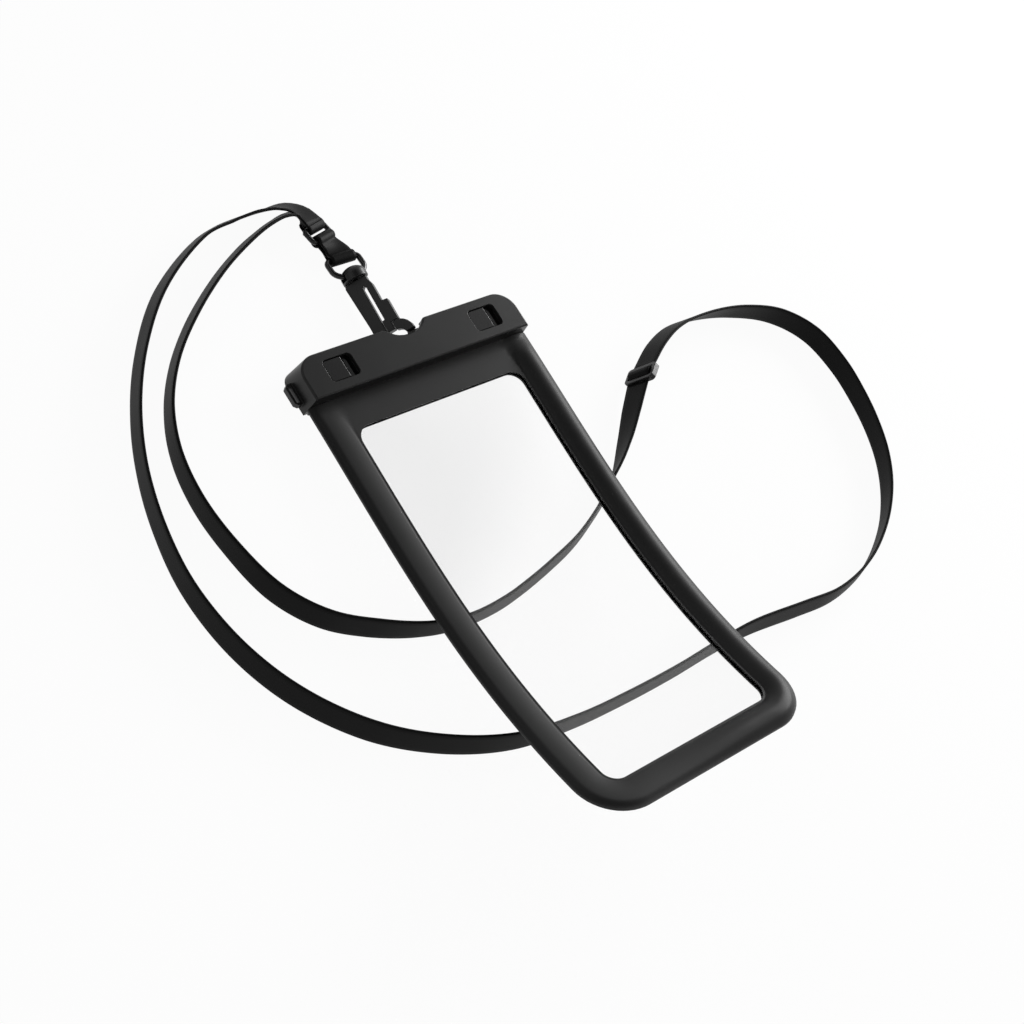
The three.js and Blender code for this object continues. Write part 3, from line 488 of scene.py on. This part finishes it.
far_bar = strap_ring_bar @ Matrix.Translation((0, 2 * STRAP_RING["half_length"], 0))
bar_line, bar_ahead, bar_up = (Vector(far_bar.to_3x3().col[i]).normalized() for i in range(3))
arriving, leaving = short_frames[-1], long_frames[0]
across = bar_line if arriving[1].dot(bar_line) > 0 else -bar_line
turn_radius = STRAP_RING["wire"] / 2 + RING_CLEARANCE + STRAP_THICKNESS / 2
turn = [arriving]
for i in range(TURN_STEPS + 1):
    a = math.radians(270 - 180 * i / TURN_STEPS)
    ahead = bar_ahead * math.sin(a) - bar_up * math.cos(a)
    place = far_bar.translation + (bar_ahead * math.cos(a) + bar_up * math.sin(a)) * turn_radius
    turn.append(turned_frame(place, ahead, across))
turn.append(leaving if leaving[1].dot(across) > 0 else (leaving[0], -leaving[1], -leaving[2]))
strap_turn = strap_loft("strap_turn", turn)
print("strap's turn round the ring", round(math.pi * turn_radius, 1), "mm")

# %% [markdown]
# At the slider the web comes up out of one slot, passes over the middle bar and goes down
# into the other. It is the same section again, on a short hump over the bar, once on each
# side of the slider.

# %% Web over the slider's middle bar
SLIDER = {"x": 94.2, "y": 48.2, "turn": 217, "lean": -18, "height": 14.6, "lift": 0.6,
          "thick": 2.6, "slot": 1.6}
SLIDER_CLEARANCE = 0.2
HUMP_STEPS = 24
# the hump's first half: share of the slot's distance from the bar, and share of its height
HUMP = [(1.0, 0.0), (0.98, 0.55), (0.53125, 0.95)]
slider_place = (Matrix.Translation((SLIDER["x"], SLIDER["y"], SLIDER["height"] / 2 + SLIDER["lift"]))
                @ turned("Z", SLIDER["turn"]) @ turned("X", SLIDER["lean"]) @ turned("X", 90))


def slider_wrap(name, side):
    """The web over the slider's middle bar, on one side of it."""
    over = side * (SLIDER["thick"] / 2 + SLIDER_CLEARANCE + STRAP_THICKNESS / 2)
    rising = [Vector((-SLIDER["slot"] * away, 0, over * high)) for away, high in HUMP]
    falling = [Vector((-knot.x, 0, knot.z)) for knot in reversed(rising)]
    knots = rising + [Vector((0, 0, over))] + falling
    places = [spline(knots, i / HUMP_STEPS) for i in range(HUMP_STEPS + 1)]
    axes = slider_place.to_3x3()
    along_bar = axes @ Vector((0, 1, 0))
    frames = []
    for i, place in enumerate(places):
        ahead = places[min(i + 1, HUMP_STEPS)] - places[max(i - 1, 0)]
        frames.append(turned_frame(slider_place @ place, (axes @ ahead).normalized(), along_bar))
    return strap_loft(name, frames)


near_wrap, far_wrap = slider_wrap("slider_wrap_near", 1), slider_wrap("slider_wrap_far", -1)
for piece in (strap_turn, near_wrap, far_wrap):
    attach(piece, BODY)
print("slider wraps", len(near_wrap.data.polygons) + len(far_wrap.data.polygons), "faces")

# %% [markdown]
# The length of each run is measured along its centre line.

print("cords of", round(path_length(long_path), 3), "and", round(path_length(short_path), 3), "m")

# %% [markdown]
# ## The bag's curl
# The bag has been rolled up before, so it lies in a shallow trough whose closed end turns
# up. One curve seen from the side gives that shape, and every layer of the bag is placed by
# its distance along the curve and its height off it, so that the layers stay parallel.

# %% Places on the curled bag
RIM_WIDTH, WINDOW_LENGTH, MOUTH_BAND = 12.6, 159.0, 13.0
WINDOW_HALF, WINDOW_CORNER = 39.9, 6.0
BAG_LENGTH = RIM_WIDTH + WINDOW_LENGTH + MOUTH_BAND
CURL_SHARES = [(-0.5, 0.0), (-0.117, -0.123), (0.177, -0.043), (0.5, 0.0)]
RESTING_PITCH = 11.6
CURVE_STEPS = 1000


def bezier(share, shares):
    a, b, c, d = (Vector(p) for p in shares)
    s = 1 - share
    return a * s ** 3 + b * (3 * s * s * share) + c * (3 * s * share * share) + d * share ** 3


unit = [bezier(i / CURVE_STEPS, CURL_SHARES) for i in range(CURVE_STEPS + 1)]
unit_length = sum((b - a).length for a, b in zip(unit, unit[1:]))
curl = [p * (BAG_LENGTH / unit_length) for p in unit]
curl_run = [0.0]
for a, b in zip(curl, curl[1:]):
    curl_run.append(curl_run[-1] + (b - a).length)
print("curl is", round(curl_run[-1], 1), "mm long")

# %% [markdown]
# A place on the bag is given by x across it, s along the curl and h off it. The curled bag
# is then tilted and set down where the CAD's front window lies.

# %% Set the bag down
FILM, FILM_GAP = 0.35, 0.15
FILM_LAP = 2.4
FILM_END = BAG_LENGTH + 7.0
JUST_INSIDE = 1e-6


def curl_at(s):
    """Place and direction on the curl at distance s from the closed end; straight on past its ends."""
    inside = min(max(s, 0.0), curl_run[-1] - JUST_INSIDE)
    i = min(int(inside / BAG_LENGTH * CURVE_STEPS), CURVE_STEPS - 1)
    while curl_run[i + 1] < inside:
        i += 1
    while curl_run[i] > inside:
        i -= 1
    part = (inside - curl_run[i]) / (curl_run[i + 1] - curl_run[i])
    low, high = max(i - 1, 0), min(i + 2, CURVE_STEPS)
    tangent = (curl[high] - curl[low]).normalized()
    return curl[i].lerp(curl[i + 1], part) + tangent * (s - inside), tangent


def unset_sheet(x, s, h):
    place, tangent = curl_at(s)
    return Vector((x, place.x - h * tangent.y, place.y + h * tangent.x))


tilt = turned("X", -RESTING_PITCH)
_, film_corner = (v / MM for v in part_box("front_window"))
film_reach = max((tilt @ unset_sheet(0, FILM_END, h)).y for h in (FILM_GAP, FILM_GAP + FILM))
film_top = (tilt @ unset_sheet(0, RIM_WIDTH - FILM_LAP, FILM_GAP + FILM)).z
set_down = Matrix.Translation((0, film_corner.y - film_reach, film_corner.z - film_top)) @ tilt


def on_sheet(x, s, h):
    return (set_down @ unset_sheet(x, s, h)) * MM


print("bag set down at", [round(v, 2) for v in set_down.translation], "mm")

# %% [markdown]
# ## The padded rim and mouth band
# Both covers are black sheet, high-frequency welded to the clear film round the window and
# to each other round the edge, with a strip of foam between them that makes the rim swell.
# The front cover is a closed loop of rays that start on the window's edge and run out to
# the bag's edge. Its height comes from how far out a point lies: a narrow flat weld, then
# the swell of the foam, then down to the edge weld. The rear cover is the same without the
# swell, since the foam lies on it. The left rim is flatter than the right one, which also
# has fine ripples.

# %% Cover heights
FLANGE = 1.4
CROWN_RIGHT, CROWN_LEFT = 3.9, 1.9
WELD = 1.1
SHEET = 0.55
EDGE_WELD, EDGE_HEIGHT, EDGE_TAPER = 0.36, 0.55, 3.0
RISE_POWER = 0.82
SHOULDER_LENGTH, SHOULDER_LOW = 11.0, 0.35
WELD_LINE, WELD_LINE_DEPTH, WELD_LINE_WIDTH = 0.85, 0.08, 0.25
WAVE, WAVES_PER_MM = 0.05, 0.05
RIPPLE, RIPPLES_ACROSS, RIPPLES_ALONG = 0.07, 0.14, 0.42


def outward(x, s):
    """How far a place lies outside the window, ignoring the window's end at the mouth."""
    cx, cs = WINDOW_HALF - WINDOW_CORNER, RIM_WIDTH + WINDOW_CORNER
    dx, ds = abs(x) - cx, cs - s
    if dx > 0 and ds > 0:
        return math.hypot(dx, ds) - WINDOW_CORNER
    return max(dx, ds) - WINDOW_CORNER


def smooth_step(share):
    share = min(max(share, 0.0), 1.0)
    return share * share * share * (share * (share * 6 - 15) + 10)


def swell(x, s):
    """Height of the front cover's outer face above the middle of the bag."""
    out = outward(x, s)
    share = min(max((out - WELD) / (RIM_WIDTH - WELD - EDGE_WELD), 0.0), 1.0)
    rise = math.sin(math.pi * share) ** RISE_POWER if 0 < share < 1 else 0.0
    shoulder = SHOULDER_LOW + (1 - SHOULDER_LOW) * smooth_step((BAG_LENGTH - s) / SHOULDER_LENGTH)
    taper = smooth_step((out - (RIM_WIDTH - EDGE_TAPER)) / EDGE_TAPER)
    base = FLANGE - (FLANGE - EDGE_HEIGHT) * taper
    wave = WAVE * noise.noise(Vector((x * WAVES_PER_MM, s * WAVES_PER_MM, 0.3)))
    ripple = RIPPLE * noise.noise(Vector((x * RIPPLES_ACROSS, s * RIPPLES_ALONG, 5.1)))
    ripple *= smooth_step(x / WINDOW_HALF)
    line = WELD_LINE_DEPTH * math.exp(-((out - WELD_LINE) / WELD_LINE_WIDTH) ** 2)
    crown = CROWN_LEFT + (CROWN_RIGHT - CROWN_LEFT) * smooth_step(x / WINDOW_HALF * 0.6 + 0.4)
    return base + (crown - FLANGE) * rise * shoulder + (wave + ripple) * rise - line


print("crown is", CROWN_RIGHT, "mm on the right and", CROWN_LEFT, "mm on the left")

# %% [markdown]
# The rays start on the window's outline, a rounded oblong, and end on the bag's edge. The
# angle that goes with each start says which way its ray runs in the corners. At the closed
# end the rays fan out round the corner. At the mouth they are stretched to a square one.

# %% Cover rays
RAY_SPACING = 1.3
CORNER_RAYS = 14
LONG_GAP = 8.0
HAIR = 0.01
SQUARING = 1.42
OUTER_HALF = WINDOW_HALF + RIM_WIDTH
MOUTH = BAG_LENGTH + 0.2


def window_outline():
    """Round the window, as (x, s, angle): right side up, mouth end, left side down, closed end."""
    half, low, high = WINDOW_HALF, RIM_WIDTH, RIM_WIDTH + WINDOW_LENGTH
    r = WINDOW_CORNER
    points = []
    for cx, cy, start in ((half - r, high - r, 0), (-half + r, high - r, 90),
                          (-half + r, low + r, 180), (half - r, low + r, 270)):
        points += [(p.x, p.y, start + 90 * i / CORNER_RAYS)
                   for i, p in enumerate(arc(cx, cy, r, r, start, start + 90, CORNER_RAYS))]
    full = []
    for i, (x, y, angle) in enumerate(points):
        full.append((x, y, angle))
        nx, ny, _ = points[(i + 1) % len(points)]
        gap = math.hypot(nx - x, ny - y)
        if gap > LONG_GAP:
            pieces = int(gap / RAY_SPACING)
            full += [(x + (nx - x) * k / pieces, y + (ny - y) * k / pieces, angle) for k in range(1, pieces)]
    return full


def outer_place(x, s, angle):
    """Where the ray from this place on the window's edge meets the bag's edge."""
    a = math.radians(angle)
    if s <= RIM_WIDTH + WINDOW_CORNER + HAIR and 180 <= angle <= 360:
        return x + RIM_WIDTH * math.cos(a), s + RIM_WIDTH * math.sin(a)
    if s < RIM_WIDTH + WINDOW_LENGTH - WINDOW_CORNER - HAIR:
        return math.copysign(OUTER_HALF, x), s
    side, up = (min(1.0, part * SQUARING) for part in (abs(math.cos(a)), math.sin(a)))
    return x + (math.copysign(OUTER_HALF, x) - x) * side, s + (MOUTH - s) * up


print("rays", len(window_outline()))

# %% [markdown]
# Each ray gives one ring of points, out along the sheet's upper face and back along its
# lower one. They are crowded near the window, where the weld line needs finer faces. A flat
# neck of the same sheet runs on into the clamp, and the sheet's cut edges stay sharp.

# %% Covers
RAY_STEPS = 26
RAY_CROWDING = 1.35
REAR_TAPER = 0.9
CUT_EDGE = math.radians(50)
NECK_HALF = 45
NECK_RUN = (-0.5, 3, 7)


def rear_height(x, s):
    """Height of the rear cover's outer face: flat, and tapered near the edge weld."""
    return min(FLANGE, EDGE_HEIGHT + max(0.0, RIM_WIDTH - outward(x, s)) * REAR_TAPER)


def cover(name, sign, height):
    rings = []
    for x, s, angle in window_outline():
        outer_x, outer_s = outer_place(x, s, angle)
        top, under = [], []
        for k in range(RAY_STEPS + 1):
            share = (k / RAY_STEPS) ** RAY_CROWDING
            px, ps = x + (outer_x - x) * share, s + (outer_s - s) * share
            high = height(px, ps)
            top.append(on_sheet(px, ps, sign * high))
            under.append(on_sheet(px, ps, sign * (high - SHEET)))
        rings.append(top + under[::-1])
    sheet = loft(name, rings, closed_path=True)
    sheet.data.set_sharp_from_angle(angle=CUT_EDGE)
    return sheet


def neck(name, sign):
    section = [(-NECK_HALF, FLANGE), (NECK_HALF, FLANGE),
               (NECK_HALF, FLANGE - SHEET), (-NECK_HALF, FLANGE - SHEET)]
    rings = [[on_sheet(x, BAG_LENGTH + beyond, sign * h) for x, h in section] for beyond in NECK_RUN]
    return loft(name, rings, smooth=False)


def join(name, objects):
    bpy.ops.object.select_all(action="DESELECT")
    for o in objects:
        o.select_set(True)
    bpy.context.view_layer.objects.active = objects[0]
    bpy.ops.object.join()
    objects[0].name = name
    return objects[0]


front_cover = join("front_cover_sheet", [cover("front_skin", 1, swell), neck("front_neck", 1)])
rear_cover = join("rear_cover_sheet", [cover("rear_skin", -1, rear_height), neck("rear_neck", -1)])
for piece, nodes in ((front_cover, ["front_cover", "foam_rim"]), (rear_cover, ["rear_cover"])):
    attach(piece, BODY)
    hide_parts(*nodes)
print("covers", len(front_cover.data.polygons), "faces each")

# %% [markdown]
# ## The windows
# Each window is one sheet of clear soft film, welded under its cover. Real film is never
# quite flat: it keeps slow ripples from the roll, which show only as bends in a reflection.
# So each film is a fine grid that follows the curl, with ripples of a few hundredths of a
# millimetre, and a real thickness.

# %% Window films
FILM_WELD = 1.6
FILM_WAVE, FILM_FLAT_END = 0.05, 20
FILM_COLUMNS, FILM_ROWS = 60, 120


def film(name, sign):
    columns, rows = FILM_COLUMNS, FILM_ROWS
    half, low, high = WINDOW_HALF + FILM_WELD, RIM_WIDTH - FILM_WELD, FILM_END
    verts, faces = [], []
    for layer in (FILM_GAP + FILM, FILM_GAP):
        for i in range(rows + 1):
            for j in range(columns + 1):
                x = half * (2 * j / columns - 1)
                s = low + (high - low) * i / rows
                wave = FILM_WAVE * noise.noise(Vector((x * 0.035, s * 0.022, 1.7 * sign)))
                wave *= smooth_step((BAG_LENGTH - s) / FILM_FLAT_END)
                verts.append(on_sheet(x, s, sign * (layer + wave)))
    side = columns + 1
    sheet_size = (rows + 1) * side
    for i in range(rows):
        for j in range(columns):
            a = i * side + j
            faces.append((a, a + 1, a + side + 1, a + side))
            faces.append(tuple(v + sheet_size for v in (a, a + side, a + side + 1, a + 1)))
    rim = (list(range(side)) + [i * side + columns for i in range(1, rows + 1)]
           + [rows * side + j for j in range(columns - 1, -1, -1)]
           + [i * side for i in range(rows - 1, 0, -1)])
    for a, b in zip(rim, rim[1:] + rim[:1]):
        faces.append((a, b, b + sheet_size, a + sheet_size))
    return new_object(name, verts, faces)


front_film, rear_film = film("front_window_film", 1), film("rear_window_film", -1)
for piece, node in ((front_film, "front_window"), (rear_film, "rear_window")):
    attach(piece, BODY)
    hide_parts(node)
print("films", len(front_film.data.polygons), "faces each")

# %% [markdown]
# ## Colours and materials
# Colours are written as sRGB hex, as a swatch gives them, and turned to linear by one
# function. One small function adds a node with its settings and its links.

# %% Colour and node helpers
# sockets of a Mix node that mixes two colours
MIX_A, MIX_B, MIX_OUT = 6, 7, 2


def linear(hex_colour):
    parts = [int(hex_colour[i:i + 2], 16) / 255 for i in (1, 3, 5)]
    return tuple(c / 12.92 if c <= 0.04045 else ((c + 0.055) / 1.055) ** 2.4 for c in parts) + (1.0,)


def add(tree, kind, settings=None, inputs=None, links=None):
    node = tree.nodes.new(kind)
    for key, value in (settings or {}).items():
        setattr(node, key, value)
    for key, value in (inputs or {}).items():
        node.inputs[key].default_value = value
    for key, source in (links or {}).items():
        tree.links.new(source, node.inputs[key])
    return node


def new_material(name, **principled):
    material = bpy.data.materials.new(name)
    material.use_nodes = True
    shader = material.node_tree.nodes["Principled BSDF"]
    for key, value in principled.items():
        shader.inputs[key.replace("_", " ")].default_value = value
    return material, material.node_tree, shader


def dress(material, *objects):
    for obj in objects:
        obj.data.materials.clear()
        obj.data.materials.append(material)


print("black", [round(c, 4) for c in linear("#1C1C1C")])

# %% [markdown]
# Every skin here is a moulded or rolled plastic, so they share one recipe: a fine grain as
# bump, and slow clouds that shift the colour and the roughness a little. Sizes are real
# millimetres, taken from the object's own coordinates.

# %% Skin recipe
def skin(tree, shader, grain_mm, depth_mm, tones, roughness, cloud_mm=20.0):
    where = add(tree, "ShaderNodeTexCoord").outputs["Object"]
    grain = add(tree, "ShaderNodeTexNoise", inputs={"Scale": 1 / (grain_mm * MM), "Detail": 2.0},
                links={"Vector": where})
    cloud = add(tree, "ShaderNodeTexNoise", inputs={"Scale": 1 / (cloud_mm * MM), "Detail": 3.0},
                links={"Vector": where})
    rough = add(tree, "ShaderNodeMapRange", inputs={"To Min": roughness[0], "To Max": roughness[1]},
                links={"Value": cloud.outputs["Fac"]})
    bump = add(tree, "ShaderNodeBump", inputs={"Strength": 0.25, "Distance": depth_mm * MM},
               links={"Height": grain.outputs["Fac"]})
    tint = add(tree, "ShaderNodeMix", {"data_type": "RGBA"}, links={"Factor": cloud.outputs["Fac"]})
    tint.inputs[MIX_A].default_value = linear(tones[0])
    tint.inputs[MIX_B].default_value = linear(tones[1])
    tree.links.new(tint.outputs[MIX_OUT], shader.inputs["Base Color"])
    tree.links.new(rough.outputs["Result"], shader.inputs["Roughness"])
    tree.links.new(bump.outputs["Normal"], shader.inputs["Normal"])


def plastic(name, ior, specular, **recipe):
    material, tree, shader = new_material(name, IOR=ior, Specular_IOR_Level=specular)
    skin(tree, shader, **recipe)
    return material


print("skin recipe ready")

# %% [markdown]
# ### Calendered TPU sheet
# The covers are thermoplastic polyurethane sheet, rolled between steel rollers, one of
# them sand blasted. That gives a soft satin skin with a fine even grain, brighter where it
# turns away. The grain is about 0.25 mm across.

# %% TPU sheet
tpu = plastic("black TPU sheet, calendered", 1.5, 0.16, grain_mm=0.25, depth_mm=0.02,
              tones=("#242424", "#2A2A2A"), roughness=(0.42, 0.50))
dress(tpu, front_cover, rear_cover)
print(tpu.name)

# %% [markdown]
# ### Clear TPU film
# Cast film is bright and smooth. Its colour also carries a painted reflection: a faint grey,
# slanted across the part of the window nearest the clamp, on the left. The IOR and
# the specular level are set under TPU's own, because four faces in a row mirror more of
# the room than the photo shows.

# %% Clear film
# painted reflection: past a slanted line the film's colour turns a faint grey
PAINTED_REFLECTION_STARTS, PAINTED_REFLECTION_FULL = 0.0, 0.05
PAINTED_REFLECTION_SLANT = -0.9
clear, tree, shader = new_material("clear TPU film, cast", Roughness=0.0, IOR=1.3, Specular_IOR_Level=0.3)
shader.inputs["Transmission Weight"].default_value = 1.0
place = add(tree, "ShaderNodeTexCoord").outputs["Object"]
apart = add(tree, "ShaderNodeSeparateXYZ", links={0: place})
slant = add(tree, "ShaderNodeMath", {"operation": "MULTIPLY_ADD"}, {1: PAINTED_REFLECTION_SLANT},
            {0: apart.outputs["X"]})
tree.links.new(apart.outputs["Y"], slant.inputs[2])
painted_reflection = add(tree, "ShaderNodeMapRange", {"interpolation_type": "SMOOTHSTEP"},
            {"From Min": PAINTED_REFLECTION_STARTS, "From Max": PAINTED_REFLECTION_FULL}, {"Value": slant.outputs[0]})
# the painted grey reflection: white where the film is clear, faintly grey past the slanted line
tint = add(tree, "ShaderNodeMix", {"data_type": "RGBA"}, links={"Factor": painted_reflection.outputs["Result"]})
tint.inputs[MIX_A].default_value = linear("#FFFFFF")
tint.inputs[MIX_B].default_value = linear("#FCFCFC")
tree.links.new(tint.outputs[MIX_OUT], shader.inputs["Base Color"])
dress(clear, front_film, rear_film)
print(clear.name)

# %% [markdown]
# ### Moulded ABS
# The clamp is injection moulded ABS from a spark-eroded mould, which leaves an even matte
# texture of about 0.2 mm. The latches are the same plastic from a polished mould, so their
# grain is only the faint flow of the melt.

# %% ABS
abs_matte = plastic("black ABS, spark-eroded mould", 1.53, 0.27, grain_mm=0.2, depth_mm=0.015,
                    tones=("#181818", "#1C1C1C"), roughness=(0.31, 0.37))
abs_gloss = plastic("black ABS, polished mould", 1.53, 0.32, grain_mm=1.2, depth_mm=0.01,
                    tones=("#121212", "#151515"), roughness=(0.20, 0.25))
dress(abs_matte, clamp_front, clamp_rear)
dress(abs_gloss, left_latch, right_latch)
print(abs_matte.name, "and", abs_gloss.name)

# %% [markdown]
# ### Nylon, wire, webbing and silicone
# The hook and slider are glass-filled nylon with a satin skin. The D ring is steel wire
# under black lacquer, so it shows as a glossy dark paint and not as metal. The strap is
# polyester webbing under a smooth rubbery coat, which fills the weave and leaves only a
# fine grain, about 0.35 mm across. The seals are silicone. The nylon's grain is drawn
# coarser than the real one, at half a millimetre, so that it shows.

# %% Nylon, wire, webbing and silicone
nylon = plastic("black glass-filled nylon, moulded", 1.53, 0.35, grain_mm=0.5, depth_mm=0.03,
                tones=("#141414", "#191919"), roughness=(0.34, 0.42))
lacquer = plastic("steel wire, black lacquer", 1.5, 0.5, grain_mm=0.8, depth_mm=0.01,
                  tones=("#0E0E0E", "#131313"), roughness=(0.18, 0.26))
silicone = plastic("grey silicone, moulded", 1.41, 0.4, grain_mm=0.3, depth_mm=0.02,
                   tones=("#55575A", "#606264"), roughness=(0.55, 0.65))
webbing = plastic("black polyester webbing, coated", 1.5, 0.06, grain_mm=0.35, depth_mm=0.03,
                  tones=("#0E0E0E", "#141414"), roughness=(0.44, 0.54))
dress(nylon, snap_hook, swivel_eye, strap_slider, strap_ring)
dress(lacquer, d_ring)
dress(webbing, long_run, short_run, web_tab, strap_turn, near_wrap, far_wrap)
dress(silicone, frame["nodes"]["front_seal"], frame["nodes"]["rear_seal"])
print("materials", len(bpy.data.materials))

# %% [markdown]
# ## Floor and light
# The pouch lies on a plain white surface that runs on out of sight. Camera, glossy and
# transmission rays see it as almost plain white. The small rest is real shading, which
# keeps the object's shadow as a light grey.

# %% Floor
FLOOR_SIZE, FLOOR_GLOW = 6.0, 0.95
bpy.ops.mesh.primitive_plane_add(size=FLOOR_SIZE, location=(0, 0, 0))
floor = bpy.context.object
floor.name = "floor"
paper, tree, shader = new_material("white paper sweep", Roughness=0.9)
shader.inputs["Base Color"].default_value = linear("#F4F4F4")
shader.inputs["Specular IOR Level"].default_value = 0.0
rays = add(tree, "ShaderNodeLightPath")
seen = add(tree, "ShaderNodeMath", {"operation": "MAXIMUM"},
           links={0: rays.outputs["Is Camera Ray"], 1: rays.outputs["Is Transmission Ray"]})
mirrored = add(tree, "ShaderNodeMath", {"operation": "MAXIMUM"},
               links={0: seen.outputs[0], 1: rays.outputs["Is Glossy Ray"]})
glow = add(tree, "ShaderNodeMath", {"operation": "MULTIPLY"}, {1: FLOOR_GLOW}, {0: mirrored.outputs[0]})
white = add(tree, "ShaderNodeEmission", inputs={"Color": (1, 1, 1, 1), "Strength": 1.0})
both = add(tree, "ShaderNodeMixShader",
           links={0: glow.outputs[0], 1: shader.outputs[0], 2: white.outputs[0]})
tree.links.new(both.outputs[0], tree.nodes["Material Output"].inputs["Surface"])
dress(paper, floor)
print("floor", FLOOR_SIZE, "m wide")

# %% [markdown]
# The room's light depends only on height: dim at the horizon, bright in a band some forty
# degrees up, and dark overhead. Level faces mirror the dark part, so they look black, and
# the film looks clear at one end and faintly grey at the other. The camera itself sees
# plain white. One broad softbox on the right draws the highlight along the right rim.

# %% Room
# height of a direction, from 0 at the horizon to 1 overhead, and the light from there
ROOM_BANDS = [(0.0, 0.45), (0.45, 0.5), (0.62, 0.85), (0.735, 0.85), (0.77, 0.05)]
world = bpy.data.worlds.new("room")
bpy.context.scene.world = world
world.use_nodes = True
tree = world.node_tree
background = tree.nodes["Background"]
direction = add(tree, "ShaderNodeTexCoord").outputs["Generated"]
height = add(tree, "ShaderNodeSeparateXYZ", links={0: direction}).outputs["Z"]
bands = add(tree, "ShaderNodeValToRGB", links={"Fac": height})
while len(bands.color_ramp.elements) < len(ROOM_BANDS):
    bands.color_ramp.elements.new(1.0)
for stop, (position, level) in zip(bands.color_ramp.elements, ROOM_BANDS):
    stop.position, stop.color = position, (level, level, level, 1.0)
seen = add(tree, "ShaderNodeLightPath").outputs["Is Camera Ray"]
room = add(tree, "ShaderNodeMix", {"data_type": "RGBA"}, links={"Factor": seen})
room.inputs[MIX_B].default_value = (1.0, 1.0, 1.0, 1.0)
tree.links.new(bands.outputs["Color"], room.inputs[MIX_A])
tree.links.new(room.outputs[MIX_OUT], background.inputs["Color"])


def softbox(name, place, aim, size, watts):
    lamp = bpy.data.objects.new(name, bpy.data.lights.new(name, "AREA"))
    bpy.context.scene.collection.objects.link(lamp)
    lamp.data.shape = "RECTANGLE"
    lamp.data.size, lamp.data.size_y = size
    lamp.data.energy = watts
    lamp.matrix_world = aimed(place, aim)
    return lamp


key = softbox("key softbox", place=(0.86, 0.18, 0.32), aim=(0.04, 0.0, 0.02),
              size=(0.62, 0.30), watts=9.0)
print(key.name, key.data.energy, "W")
